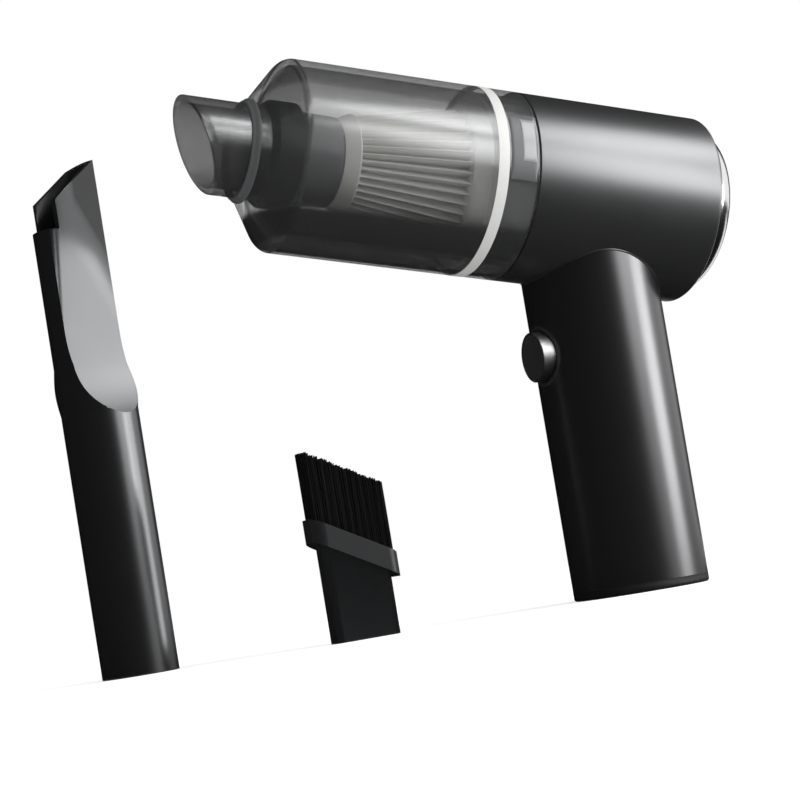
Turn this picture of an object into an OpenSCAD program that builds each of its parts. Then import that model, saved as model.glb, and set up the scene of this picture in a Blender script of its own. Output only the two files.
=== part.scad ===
// Cordless hand-held vacuum cleaner with its crevice tool and brush tool.
// Millimetres, +Z up. The origin is the centre of the flat foot of the handle, the nose points to -X
// and the handle stands on the Z axis. Both tools stand upright on the same floor as the foot.

/* [Barrel] */
// Outer diameter of the barrel and of the dust cup
barrel_d = 64; // [58:1:72]
// Wall of the barrel shell and of the handle shell
shell_wall = 2.2; // [1.8:0.1:3]
// From the handle axis back to the rear edge of the shell
barrel_rear = 40.2; // [38:0.1:50]
// From the handle axis forward to the seam with the dust cup
barrel_front = 27.7; // [26:0.1:34]
// Nose-up tilt of the barrel in degrees
tilt = 12.7; // [0:0.1:18]
// How far the domed rear trim stands out behind the shell
trim_depth = 7.3; // [4:0.1:10]
// Number of slots in the exhaust grille
vent_count = 24; // [12:1:28]

/* [Handle] */
// Outer diameter of the handle
handle_d = 46.2; // [45:0.1:54]
// Height of the barrel axis over the foot, on the handle axis
axis_height = 136.6; // [130:0.1:160]
// Thickness of the foot
foot_t = 3; // [2.5:0.1:5]
// Diameter of the power button
button_d = 17; // [12:0.5:18]
// How far the button stands out of the handle
button_out = 3; // [2:0.1:4]
// Travel of the button
button_travel = 1.5; // [0.8:0.1:1.8]
// From the barrel axis down to the middle of the button
button_drop = 53; // [50:0.5:56]

/* [Dust cup] */
// Wall of the clear cup
cup_wall = 2; // [1.6:0.1:2.6]
// From the handle axis to the front end of the cup's straight wall
cup_front = 107.7; // [100:0.1:120]
// Length of the cone in front of the straight wall
cone_len = 11.8; // [10:0.1:16]
// Outer diameter of the nozzle pipe
nozzle_d = 31; // [30:0.1:34]
// Bore of the nozzle pipe, which takes the round end of the crevice tool
nozzle_bore = 26.4; // [24:0.1:27]
// From the handle axis to the middle of the slanted mouth
nozzle_reach = 136.7; // [132:0.1:150]
// Slant of the mouth in degrees
mouth_slant = 22.8; // [0:0.1:35]
// Length of the neck that the cup slides over
neck_len = 10.7; // [9:0.1:14]
// Angle that the cup turns on its bayonet lugs, in degrees
twist = 15; // [10:1:20]

/* [Filter] */
// Width of the white filter ring
filter_ring_w = 3.3; // [2.5:0.1:5]
// Number of pleats
pleat_count = 40; // [24:1:44]
// Outer diameter of the pleats at the rear
pleat_d_rear = 47; // [42:0.5:48]
// Outer diameter of the pleats at the front
pleat_d_front = 34; // [30:0.5:36]
// Length of the pleats
pleat_len = 33.5; // [28:0.5:34]

/* [Motor and battery] */
// Diameter of the motor can
motor_d = 34; // [30:0.5:38]
// Length of the motor can
motor_len = 27; // [22:0.5:27]
// Diameter of the motor shaft
shaft_d = 3; // [2:0.1:4]
// Running clearance of the shaft in its bearings, on the radius
shaft_clearance = 0.06; // [0.04:0.01:0.1]
// Number of blades on the impeller
blade_count = 9; // [6:1:12]
// Diameter of a battery cell
cell_d = 18.2; // [17.8:0.1:18.4]
// Length of a battery cell
cell_len = 65; // [60:0.5:66]

/* [Tools] */
// Outer diameter of the crevice tool's round end
tube_d = 26; // [23:0.1:26]
// Wall of the crevice tool
tool_wall = 1.8; // [1.2:0.1:2.4]
// Height of the crevice tool
tool_len = 175.5; // [160:0.5:190]
// Height of the brush tool's shank at its middle
shank_h = 30; // [26:0.5:36]
// Width of the brush tool's shank
shank_w = 23; // [20:0.1:23]
// Thickness of the brush tool's shank
shank_t = 8.6; // [6:0.1:8.8]
// Slant of the brush collar in degrees
brush_slant = 28; // [0:1:32]
// Length of the bristles
bristle_len = 23; // [16:0.5:26]

/* [Hidden] */
$fn = 96;

// Gap between two bodies that pass each other
gap = 0.3;
// Overshoot of a cut past the face that it opens
cut = 1;

// Barrel values, on the barrel axis: u grows from the handle axis to the nose
barrel_r = barrel_d / 2;
shell_in = barrel_r - shell_wall;
rear_fillet = 2;
lip_r = shell_in - 0.6;
lip_len = 3;
trim_mouth_r = 22;
trim_wall = 2;
trim_seat = 2.5;
grille_t = 2.2;
grille_hub_r = 8;
foam_t = 5;
wire_hole_r = 12;

// Neck, lugs and slots
neck_plug = 8;
neck_wall = 3.4;
neck_front = barrel_front + neck_len;
cup_in = barrel_r - cup_wall;
neck_r = cup_in - gap;
neck_in = neck_r - neck_wall;
lug_w = 4.6;
lug_len = 3;
lug_in = 1.2;
slot_depth = lug_in + gap;
slot_back = 3.2;
lug_count = 3;
guard_bar = 2.4;
guard_t = 1.6;

// Filter
seal_t = 0.6;
ring_back = neck_front + gap + seal_t;
ring_front = ring_back + filter_ring_w;
ring_r = cup_in - gap;
ring_in = ring_r - 5;
skirt_len = 5.4;
skirt_wall = 1.6;
pleat_back = ring_front + skirt_len;
pleat_front = pleat_back + pleat_len;
pleat_depth = 5.5;
paper_t = 0.9;
cap_t = 3.6;
cap_r = pleat_d_front / 2 + 1;
cage_bar = 1.8;
cage_bars = 6;

// Cup and nozzle
cone_end = cup_front + cone_len;
edge_fillet = 3.5;
nozzle_r = nozzle_d / 2;
bore_r = nozzle_bore / 2;
collar_r = nozzle_r + 1.7;
collar_len = 2.6;
sleeve_r = nozzle_r + 2.3;
sleeve_len = 10.8;
sleeve_back = cup_front - 3.4;
pipe_back = sleeve_back + 2;
duct_len = 14.4;
duct_back = sleeve_back - duct_len;

// Handle
handle_r = handle_d / 2;
handle_in = handle_r - shell_wall;
foot_plug = 5;
foot_fillet = 1;
plate_t = 2;
cell_r = cell_d / 2;
cell_gap = 0.3;
cell_y = cell_r + cell_gap / 2;
holder_z = foot_t + foot_plug;
cell_z = holder_z + plate_t;
cell_top = cell_z + cell_len;
post_w = 4;
screw_r = 1.25;
screw_head_r = 2.6;
screw_head_t = 2;
screw_len = 14;

// Button and its switch, on a line along X
button_r = button_d / 2;
button_z = axis_height - button_drop;
button_face = handle_r + button_out;
bezel_wall = 1.6;
bezel_in = button_r + gap;
bezel_r = bezel_in + bezel_wall;
bezel_floor = 15.6;
floor_t = 1;
button_back = bezel_floor + floor_t + button_travel + 1.6;
trim_side = 0.7;
stem_r = 2.2;
stem_hole_r = stem_r + gap;
spring_r = 5.5;
spring_wall = 1;
switch_t = 3.5;
switch_w = 6;
board_t = 1.6;
board_w = 22;
board_h = 26;
board_low = 6.6;
chip_t = 1.2;
knob_r = 1.7;
knob_t = 0.6;
stem_end = bezel_floor + knob_t - floor_t / 2 + button_travel + gap;

// Charge socket at the lower rear of the handle
socket_z = 24;
socket_w = 9.2;
socket_h = 3.4;
socket_wall = 0.5;
socket_len = 6.2;
socket_inset = 0.6;
socket_x = handle_r - socket_inset - socket_len;
post_x = socket_x - gap - post_w / 2;

// Motor and impeller
motor_r = motor_d / 2;
motor_front = 0;
shaft_r = shaft_d / 2;
boss_r = 6;
boss_t = 1.5;
hub_r = 5;
impeller_r = 21;
impeller_back = 4;
disc_t = 1.2;
blade_t = 0.9;
eye_r = 9;
blade_tip_h = 3.2;
fan_wall = 1.6;
gasket_t = 2;
fan_front = barrel_front - neck_plug - gasket_t;
fan_flange_t = 1.6;
mount_wall = 2;
mount_arm = 4;
mount_len = 14;

// Places of the two tools on the floor and how far they are turned
crevice_at = [-162, 55];
crevice_turn = -62;
brush_at = [-98, 10];
brush_turn = 0;

// Crevice tool
tube_r = tube_d / 2;
face_front = 2.6;
face_back = 8.5;
scoop_top = 116;
scoop_low = 87;
bead_r = tube_r + 0.8;
bead_z = 97;
bead_half = 8;
mouth_low = 24;
mouth_step = 10;
mouth_split = 7.7;

// Brush tool
collar_w = shank_w + 5.4;
collar_t = shank_t + 5;
collar_h = 7.8;
bristle_rows = 14;
bristle_cols = 26;
strand_w = 0.62;
slice_t = 1.2;

// Radius of the cylinder that goes through a chord: rise over half-length
function scoop_radius(rise, half) = (half * half + rise * rise) / (2 * rise);
// Points of an arc
function arc(c, r, a0, a1, n = 12) = [for (i = [0:n]) let (a = a0 + (a1 - a0) * i / n) c + r * [cos(a), sin(a)]];

// Puts its children on the barrel axis: local +Z is the way to the nose and local +X is up
module on_barrel(u = 0) {
    translate([0, 0, axis_height]) rotate([0, tilt - 90, 0]) translate([0, 0, u]) children();
}

// Ring round the Z axis between two radii
module ring(r_out, r_in, z0, z1) {
    translate([0, 0, z0]) rotate_extrude() translate([r_in, 0]) square([r_out - r_in, z1 - z0]);
}

// Cylinder on the Z axis between two heights
module cylinder_between(r, z0, z1) {
    translate([0, 0, z0]) cylinder(r = r, h = z1 - z0);
}

// Copies round the Z axis
module around(count, start = 0) {
    for (i = [0:count - 1]) rotate([0, 0, start + i * 360 / count]) children();
}

// Points its child's +Z along -X at the height of the button
module on_button() {
    translate([0, 0, button_z]) rotate([0, -90, 0]) children();
}

// Barrel shell: tube with a rounded rear edge, a lip for the trim ring and a hole over the handle
module barrel_shell() {
    color("#55585a") on_barrel() difference() {
        rotate_extrude() polygon(concat(
            [[shell_in, barrel_front], [barrel_r, barrel_front]],
            arc([barrel_r - rear_fillet, -barrel_rear + rear_fillet], rear_fillet, 0, -90),
            [[lip_r, -barrel_rear], [lip_r, -barrel_rear + lip_len], [shell_in, -barrel_rear + lip_len]]
        ));
        rotate([0, 90 - tilt, 0]) translate([0, 0, -barrel_r * 2]) cylinder(r = wire_hole_r, h = barrel_r * 2);
    }
}

// Path that one bayonet lug takes through the neck's wall: straight in, then round
module lug_path() {
    half = asin((lug_w / 2 + gap) / (neck_r - slot_depth));
    rotate([0, 0, -half]) {
        rotate_extrude(angle = 2 * half) translate([neck_r - slot_depth, barrel_front + slot_back - gap])
            square([slot_depth + cut, neck_len]);
        rotate_extrude(angle = twist + 2 * half) translate([neck_r - slot_depth, barrel_front + slot_back - gap])
            square([slot_depth + cut, lug_len + 2 * gap]);
    }
}

// Neck collar: plugs into the shell, carries the cup and guards the fan
module neck_collar() {
    color("#3a3c3e") on_barrel() {
        difference() {
            union() {
                ring(shell_in, neck_in, barrel_front - neck_plug, barrel_front);
                ring(neck_r, neck_in, barrel_front, neck_front);
            }
            around(lug_count, 60) lug_path();
        }
        intersection() {
            translate([0, 0, barrel_front - neck_plug]) union() {
                ring(hub_r + guard_bar, hub_r, 0, guard_t);
                ring(hub_r * 3 + guard_bar, hub_r * 3, 0, guard_t);
                around(6) translate([hub_r + 1, -guard_bar / 2, 0]) cube([neck_in, guard_bar, guard_t]);
            }
            cylinder(r = neck_in + 1, h = neck_front);
        }
    }
}

// Rear trim: domed bright ring behind the shell
module rear_trim_ring() {
    dome_h = trim_depth;
    dome_w = lip_r - trim_mouth_r - trim_wall / 2;
    color("#d8d8d8") on_barrel(-barrel_rear) rotate_extrude() polygon(concat(
        [[lip_r, trim_seat], [lip_r, 0]],
        [for (i = [0:10]) let (a = 90 * i / 10)
            [lip_r - gap - dome_w * (1 - cos(a)), -gap - (dome_h - gap) * sin(a)]],
        [[trim_mouth_r, -dome_h + 0.4], [trim_mouth_r, -dome_h + 2 * trim_wall],
         [lip_r - trim_wall, -trim_wall], [lip_r - trim_wall, trim_seat]]
    ));
}

// Exhaust grille: round plate with slots set on its spokes
module exhaust_grille() {
    plate_u = -barrel_rear - trim_depth + 2 * trim_wall;
    flange_u = -barrel_rear - trim_wall;
    slot_in = grille_hub_r + 1;
    slot_out = trim_mouth_r - 2;
    slot_w = min(2.2, 0.6 * 2 * PI * slot_in / vent_count);
    color("#2b2d2e") on_barrel() difference() {
        union() {
            cylinder_between(lip_r - trim_wall, flange_u, -barrel_rear + trim_seat);
            cylinder_between(trim_mouth_r, plate_u - grille_t, flange_u + 1);
        }
        cylinder_between(trim_mouth_r - 1.6, plate_u, 0);
        around(vent_count) translate([slot_in, -slot_w / 2, plate_u - grille_t - cut])
            cube([slot_out - slot_in, slot_w, grille_t + 2 * cut]);
    }
}

// Exhaust foam: flat ring that the outgoing air passes, in front of the grille
module exhaust_foam() {
    color("#1d1e1f") on_barrel(-barrel_rear + trim_seat) cylinder(r = lip_r - trim_wall, h = foam_t);
}

// Handle shell: round tube cut to the barrel, with holes for the bezel and the socket
module handle_shell() {
    color("#17181a") difference() {
        translate([0, 0, foot_t]) difference() {
            cylinder(r = handle_r, h = axis_height - foot_t);
            translate([0, 0, -cut]) cylinder(r = handle_in, h = axis_height);
        }
        on_barrel(-barrel_r * 2) cylinder(r = barrel_r, h = barrel_r * 4);
        on_button() cylinder(r = bezel_r, h = handle_d);
        translate([handle_in - cut * 3, 0, socket_z]) rotate([90, 0, 90]) linear_extrude(handle_d) socket_outline();
    }
}

// Foot: flat cap with a plug that fills the end of the handle
module handle_foot() {
    color("#141516") difference() {
        rotate_extrude() polygon(concat(
            [[0, 0]],
            arc([handle_r - foot_fillet, foot_fillet], foot_fillet, -90, 0),
            [[handle_r, foot_t], [handle_in, foot_t], [handle_in, holder_z], [0, holder_z]]
        ));
        at_screws() translate([0, 0, -cut]) cylinder(r = screw_r, h = holder_z + 2 * cut);
        at_screws() translate([0, 0, -cut]) cylinder(r = screw_head_r, h = screw_head_t + foot_t / 6 + cut);
    }
}

// The two screw axes in the foot
module at_screws() {
    for (side = [-1, 1]) translate([side * post_x, 0, 0]) children();
}

// Screws that hold the foot to the battery holder
module foot_screws() {
    head_z = foot_t / 6 + 0.1;
    color("#8f9294") at_screws() difference() {
        union() {
            translate([0, 0, head_z]) cylinder(r = screw_head_r, h = screw_head_t + foot_t / 6 - head_z);
            translate([0, 0, head_z]) cylinder(r = screw_r, h = screw_len);
        }
        for (turn = [0, 90]) rotate([0, 0, turn]) translate([-1.6, -0.35, head_z - cut]) cube([3.2, 0.7, cut + 0.9]);
    }
}

// Bezel: cup in the handle that guides the button, its rim flush with the handle
module button_bezel() {
    color("#0d0e0f") intersection() {
        on_button() difference() {
            translate([0, 0, bezel_floor]) cylinder(r = bezel_r, h = handle_r);
            translate([0, 0, bezel_floor + floor_t]) cylinder(r = bezel_in, h = handle_r);
            translate([0, 0, bezel_floor - cut]) cylinder(r = stem_hole_r, h = 2 * cut + floor_t);
        }
        cylinder(r = handle_r, h = axis_height);
    }
}

// Power button: round dished cap with a stem to the switch
module power_button() {
    cap_fillet = 0.5;
    color("#2d3032") on_button() rotate_extrude() polygon(concat(
        [[0, stem_end], [stem_r, stem_end], [stem_r, button_back], [button_r - trim_side, button_back]],
        arc([button_r - trim_side - cap_fillet, button_face - cap_fillet], cap_fillet, 0, 90, 5),
        [[button_r * 0.6, button_face - 0.25], [0, button_face - 0.35]]
    ));
}

// Bright sleeve round the button's side
module button_trim() {
    color("#c9cbcc") on_button() rotate_extrude() polygon([
        [button_r - trim_side, button_back], [button_r, button_back], [button_r, button_face - 0.3],
        [button_r - 0.3, button_face], [button_r - trim_side, button_face]
    ]);
}

// Return spring, pressed flat: a low stack of coils round the stem
module button_spring() {
    color("#b5b8ba") on_button() ring(spring_r, spring_r - spring_wall, bezel_floor + floor_t, bezel_floor + floor_t + 1.4);
}

// Outline of the charge socket
module socket_outline() {
    corner = socket_h / 2;
    union() {
        square([socket_w - 2 * corner, socket_h], center = true);
        for (side = [-1, 1]) translate([side * (socket_w / 2 - corner), 0]) circle(r = corner, $fn = 32);
    }
}

// Charge socket: oval metal sleeve with a tongue
module charge_socket() {
    color("#9a9da0") translate([socket_x, 0, socket_z]) rotate([90, 0, 90]) {
        difference() {
            linear_extrude(socket_len) socket_outline();
            translate([0, 0, 1]) linear_extrude(socket_len) union() {
                square([socket_w - socket_h, socket_h - 2 * socket_wall], center = true);
                for (side = [-1, 1]) translate([side * (socket_w - socket_h) / 2, 0])
                    circle(r = socket_h / 2 - socket_wall, $fn = 32);
            }
        }
        translate([0, 0, socket_len / 2]) cube([socket_w - socket_h - 0.6, 0.7, socket_len - 1.2], center = true);
    }
}

// Motor: can with end boss and a bore for the shaft
module motor_can() {
    color("#8d9092") on_barrel() difference() {
        union() {
            rotate_extrude() polygon(concat(
                [[0, motor_front - motor_len]],
                arc([motor_r - 2, motor_front - motor_len + 2], 2, -90, 0, 6),
                [[motor_r, motor_front], [0, motor_front]]
            ));
            cylinder(r = boss_r, h = boss_t);
        }
        translate([0, 0, -motor_len - cut]) cylinder(r = shaft_r + shaft_clearance, h = motor_len + boss_t + 2 * cut);
    }
}

// Motor mount: ring round the can, arms and a ring against the shell
module motor_mount() {
    color("#4a4c4e") on_barrel(motor_front - mount_len - 6) {
        ring(motor_r + mount_wall, motor_r, 0, mount_len);
        ring(shell_in, shell_in - mount_wall, 0, mount_len / 2);
        for (i = [0:3]) rotate([0, 0, 45 + 90 * i]) translate([motor_r + mount_wall / 2, -mount_arm / 2, 0])
            cube([shell_in - motor_r - mount_wall * 1.5 + 0.5, mount_arm, mount_len / 2]);
    }
}

// Rubber gasket between the fan housing and the neck collar
module motor_gasket() {
    color("#202122") on_barrel() ring(shell_in, neck_in, fan_front, fan_front + gasket_t);
}

// Fan housing: shroud over the blades with a round eye and a flange at the front
module fan_housing() {
    shroud_front = impeller_back + disc_t + blade_h(eye_r) + gap * 2;
    shroud_low = impeller_back + disc_t + blade_tip_h + gap * 2;
    wall_r = impeller_r + 1.6;
    color("#5c5f61") on_barrel() rotate_extrude() polygon([
        [eye_r, shroud_front], [eye_r, fan_front], [shell_in, fan_front], [shell_in, fan_front - fan_flange_t],
        [wall_r + fan_wall, fan_front - fan_flange_t], [wall_r + fan_wall, boss_t + gap],
        [wall_r, boss_t + gap], [wall_r, shroud_low], [impeller_r, shroud_low]
    ]);
}

// Height of a blade over the disc at a radius: full at the eye, low at the tip
function blade_h(r) = blade_tip_h + (impeller_r - r) / (impeller_r - eye_r) * 5;

// Impeller: disc, hub and backward-curved blades under a sloping edge
module impeller() {
    sweep_r = impeller_r * 0.62;
    color("#c5c8ca") on_barrel(impeller_back) difference() {
        union() {
            cylinder(r = impeller_r, h = disc_t);
            cylinder(r = hub_r, h = disc_t + 6);
            intersection() {
                linear_extrude(disc_t + blade_h(eye_r) + cut) around(blade_count) intersection() {
                    difference() {
                        translate([sweep_r, 0]) circle(r = sweep_r);
                        translate([sweep_r, 0]) circle(r = sweep_r - blade_t);
                    }
                    translate([hub_r * 0.8, 0]) square([impeller_r, impeller_r]);
                }
                rotate_extrude() polygon([
                    [0, disc_t / 2], [impeller_r - gap, disc_t / 2], [impeller_r - gap, disc_t + blade_tip_h],
                    [eye_r, disc_t + blade_h(eye_r)], [0, disc_t + blade_h(eye_r)]
                ]);
            }
        }
        translate([0, 0, -cut]) cylinder(r = shaft_r, h = disc_t + blade_h(eye_r) + 2 * cut);
    }
}

// Motor shaft: runs through the can and carries the impeller
module motor_shaft() {
    color("#e2e4e6") on_barrel(-motor_len - 1.5) cylinder(r = shaft_r, h = motor_len + 1.5 + impeller_back + disc_t + 7);
}

// One battery cell at a side of the handle's middle plane
module cell(side) {
    translate([0, side * cell_y, cell_z]) rotate_extrude() polygon(concat(
        [[0, 0]],
        arc([cell_r - 0.8, 0.8], 0.8, -90, 0, 4),
        arc([cell_r - 0.8, cell_len - 1.6], 0.8, 0, 90, 4),
        [[3, cell_len - 0.8], [3, cell_len], [0, cell_len]]
    ));
}

module cell_left() {
    color("#3f7fbf") cell(-1);
}

module cell_right() {
    color("#3f7fbf") cell(1);
}

// Battery holder: two end plates on a rear post, and a low boss at the front, both with screw holes
module battery_holder() {
    color("#e6e6e2") difference() {
        union() {
            translate([0, 0, holder_z]) cylinder(r = handle_in - gap, h = plate_t);
            translate([0, 0, cell_top]) intersection() {
                cylinder(r = handle_in - gap, h = plate_t);
                translate([-cell_r - cell_gap, -handle_r, 0]) cube([handle_d, handle_d, plate_t]);
            }
            translate([post_x - post_w / 2, -post_w / 2, holder_z]) cube([post_w, post_w, cell_len + 2 * plate_t]);
            translate([-post_x - post_w / 2, -post_w / 2, holder_z]) cube([post_w, post_w, plate_t + screw_len / 2]);
        }
        at_screws() translate([0, 0, holder_z - cut]) cylinder(r = screw_r, h = screw_len / 2 + cut);
    }
}

// Control board: behind the switch, with a chip and two smaller parts on its front over the switch
module control_board() {
    chip_w = board_w * 0.36;
    color("#1f6b3a") translate([-bezel_floor + switch_t, -board_w / 2, button_z - board_low]) union() {
        cube([board_t, board_w, board_h]);
        translate([-chip_t, (board_w - chip_w) / 2, board_h * 0.62]) cube([chip_t + board_t / 2, chip_w, chip_w * 0.8]);
        for (side = [0.1, 0.8]) translate([-chip_t * 1.4, board_w * side, board_h * 0.7])
            cube([chip_t * 1.4 + board_t / 2, board_w * 0.1, board_h * 0.12]);
    }
}

// Push switch between the bezel's floor and the board
module tact_switch() {
    color("#c0c2c4") on_button() {
        translate([0, 0, bezel_floor - switch_t / 2]) cube([switch_w, switch_w, switch_t], center = true);
        translate([0, 0, bezel_floor - cut]) cylinder(r = knob_r, h = cut + knob_t - floor_t / 2);
    }
}

// White filter ring in front of the neck
module filter_ring() {
    edge = 0.5;
    color("#f2f2ee") on_barrel() rotate_extrude() polygon([
        [ring_in, ring_back], [ring_r - edge, ring_back], [ring_r, ring_back + edge],
        [ring_r, ring_front - edge], [ring_r - edge, ring_front], [ring_in, ring_front]
    ]);
}

// Rubber seal behind the filter ring
module filter_seal() {
    color("#2a2b2c") on_barrel() ring(ring_r - 1, ring_in + 1, ring_back - seal_t, ring_back);
}

// Points of the folded paper: outer folds and then inner folds
function fold_points(r_out, r_in) = [for (i = [0:pleat_count * 2 - 1])
    let (a = 180 * i / pleat_count, r = i % 2 == 0 ? r_out : r_in) r * [cos(a), sin(a)]];

// Pleated filter: folded paper that narrows to the front
module filter_pleats() {
    narrow = pleat_d_front / pleat_d_rear;
    fold_r = pleat_d_rear / 2;
    color("#e4e4dc") on_barrel(pleat_back) linear_extrude(pleat_len, scale = narrow, slices = 1) difference() {
        polygon(fold_points(fold_r, fold_r - pleat_depth));
        polygon(fold_points(fold_r - paper_t * 2, fold_r - pleat_depth - paper_t));
    }
}

// Filter cage: skirt on the ring, inner bars and a front cap
module filter_cage() {
    narrow = pleat_d_front / pleat_d_rear;
    bar_back_r = pleat_d_rear / 2 - pleat_depth - paper_t * 1.6;
    bar_front_r = bar_back_r * narrow;
    skirt_r = pleat_d_rear / 2 + 0.6;
    color("#d9dad6") on_barrel() {
        rotate_extrude() polygon([
            [ring_r - 2.4 - skirt_wall, ring_front], [ring_r - 2.4, ring_front], [skirt_r, pleat_back],
            [bar_back_r - cage_bar, pleat_back], [bar_back_r - cage_bar, pleat_back - skirt_wall],
            [skirt_r - skirt_wall, pleat_back - skirt_wall]
        ]);
        around(cage_bars) rotate([90, 0, 0]) translate([0, 0, -cage_bar / 2]) linear_extrude(cage_bar) polygon([
            [bar_back_r - cage_bar, pleat_back - skirt_wall], [bar_back_r, pleat_back - skirt_wall],
            [bar_back_r, pleat_back], [bar_front_r, pleat_front], [bar_front_r - cage_bar, pleat_front + 0.5],
        ]);
        rotate_extrude() polygon(concat(
            [[0, pleat_front], [cap_r, pleat_front]],
            arc([cap_r - 1, pleat_front + cap_t - 1], 1, 0, 90, 5),
            [[0, pleat_front + cap_t]]
        ));
    }
}

// Dust cup: clear tube, rounded edge, cone and a bore for the nozzle pipe; lugs inside its rear rim
module cup_shell() {
    cone_a = atan2(barrel_r - edge_fillet * 0.25 - collar_r, cone_len - edge_fillet * 0.75);
    fillet_c = [barrel_r - edge_fillet, cup_front];
    inner_fillet = edge_fillet - cup_wall;
    color("#7d8183", 0.45) on_barrel() {
        rotate_extrude() polygon(concat(
            [[cup_in, barrel_front + gap], [barrel_r, barrel_front + gap]],
            arc(fillet_c, edge_fillet, 0, 90 - cone_a, 8),
            [[collar_r, cone_end], [nozzle_r, cone_end], [nozzle_r, cone_end - cup_wall - 1.4]],
            [[collar_r - 0.6, cone_end - cup_wall - 1.4]],
            [fillet_c + inner_fillet * [sin(cone_a), cos(cone_a)]],
            arc(fillet_c, inner_fillet, 90 - cone_a, 0, 6)
        ));
        around(lug_count, 60) intersection() {
            ring(cup_in + cup_wall / 2, cup_in - gap - lug_in, barrel_front + slot_back,
                barrel_front + slot_back + lug_len);
            translate([0, -lug_w / 2, 0]) cube([barrel_r, lug_w, cup_front]);
        }
    }
}

// Nozzle pipe: round pipe with a slanted mouth
module nozzle_pipe() {
    color("#5d6163", 0.6) on_barrel() difference() {
        translate([0, 0, pipe_back]) cylinder(r = nozzle_r, h = nozzle_reach + nozzle_r - pipe_back);
        translate([0, 0, pipe_back - cut]) cylinder(r = bore_r, h = nozzle_reach);
        translate([0, 0, nozzle_reach]) rotate([0, -mouth_slant, 0]) translate([-nozzle_d * 2, -nozzle_d, 0])
            cube([nozzle_d * 4, nozzle_d * 2, nozzle_d * 2]);
    }
}

// Collar: stepped ring at the root of the nozzle pipe
module nozzle_collar() {
    color("#2f3234") on_barrel(cone_end) rotate_extrude() polygon([
        [nozzle_r, 0], [collar_r, 0], [collar_r, collar_len * 0.4], [collar_r - 0.7, collar_len * 0.5],
        [collar_r - 0.7, collar_len * 0.8], [nozzle_r + 0.4, collar_len], [nozzle_r, collar_len]
    ]);
}

// Inlet duct: sleeve round the pipe's rear end and a tube into the cup
module inlet_duct() {
    color("#3b3e40") on_barrel() rotate_extrude() polygon([
        [bore_r, duct_back], [nozzle_r - 0.5, duct_back], [nozzle_r, sleeve_back], [sleeve_r, sleeve_back],
        [sleeve_r, sleeve_back + sleeve_len - 2], [nozzle_r + 0.6, sleeve_back + sleeve_len],
        [nozzle_r, sleeve_back + sleeve_len], [nozzle_r, pipe_back], [bore_r, pipe_back]
    ]);
}

// What a wall of the crevice tool keeps clear of its two scooped faces; depth moves them inwards
module scoops(depth) {
    half = scoop_top - scoop_low;
    front_r = scoop_radius(tube_r - face_front, half);
    back_r = scoop_radius(tube_r - face_back, half);
    long = tube_d * 4;
    translate([face_front + front_r, tube_d, scoop_top]) rotate([90, 0, 0]) cylinder(r = front_r + depth, h = tube_d * 2);
    translate([face_front - depth, -tube_d, scoop_top]) cube([long, tube_d * 2, tool_len]);
    translate([-face_back - back_r, tube_d, scoop_top]) rotate([90, 0, 0]) cylinder(r = back_r + depth, h = tube_d * 2);
    translate([-face_back + depth - long, -tube_d, scoop_top]) cube([long, tube_d * 2, tool_len]);
}

// Crevice tool: round tube whose two faces are scooped off to a flat channel with a slanted mouth
module crevice_tool() {
    color("#1b1c1e") translate([crevice_at[0], crevice_at[1], 0]) rotate([0, 0, crevice_turn]) difference() {
        union() {
            cylinder(r = tube_r, h = tool_len);
            translate([0, 0, bead_z - bead_half]) rotate_extrude() polygon(concat(
                [[tube_r - tool_wall / 2, 0]],
                [for (i = [0:12]) let (t = i / 12) [tube_r + (bead_r - tube_r) * sin(180 * t), 2 * bead_half * t]],
                [[tube_r - tool_wall / 2, 2 * bead_half]]
            ));
        }
        scoops(0);
        difference() {
            translate([0, 0, -cut]) cylinder(r = tube_r - tool_wall, h = tool_len + 2 * cut);
            scoops(tool_wall);
        }
        translate([-tube_d, 0, tool_len]) rotate([90, 0, 90]) linear_extrude(tube_d * 2) polygon([
            [-tube_d, -mouth_low], [-mouth_split, -mouth_low], [-mouth_split, -mouth_low + mouth_step],
            [tube_r, 0], [tube_r, tube_d], [-tube_d, tube_d]
        ]);
    }
}

// Rounded bar outline for the brush's shank and collar
module bar_outline(w, t) {
    corner = t * 0.3;
    union() {
        square([w - 2 * corner, t], center = true);
        square([w, t - 2 * corner], center = true);
        for (sx = [-1, 1], sy = [-1, 1]) translate([sx * (w / 2 - corner), sy * (t / 2 - corner)])
            circle(r = corner, $fn = 32);
    }
}

// Keeps what lies between two slanted planes through heights on the brush's axis
module slant_band(low, high) {
    intersection() {
        children();
        translate([0, 0, low]) rotate([0, brush_slant, 0]) translate([-2 * collar_w, -2 * collar_w, 0])
            cube([4 * collar_w, 4 * collar_w, (high - low) * cos(brush_slant)]);
    }
}

// Stands its child where the brush tool stands
module at_brush() {
    translate([brush_at[0], brush_at[1], 0]) rotate([0, 0, brush_turn]) children();
}

// Brush holder: flat shank that plugs into the crevice tool, and a slanted collar
module brush_holder() {
    color("#262829") at_brush() {
        slant_band(-60, shank_h - collar_h / 2) linear_extrude(shank_h * 2) bar_outline(shank_w, shank_t);
        slant_band(shank_h - collar_h / 2, shank_h + collar_h / 2) linear_extrude(shank_h * 3)
            bar_outline(collar_w, collar_t);
    }
}

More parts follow.
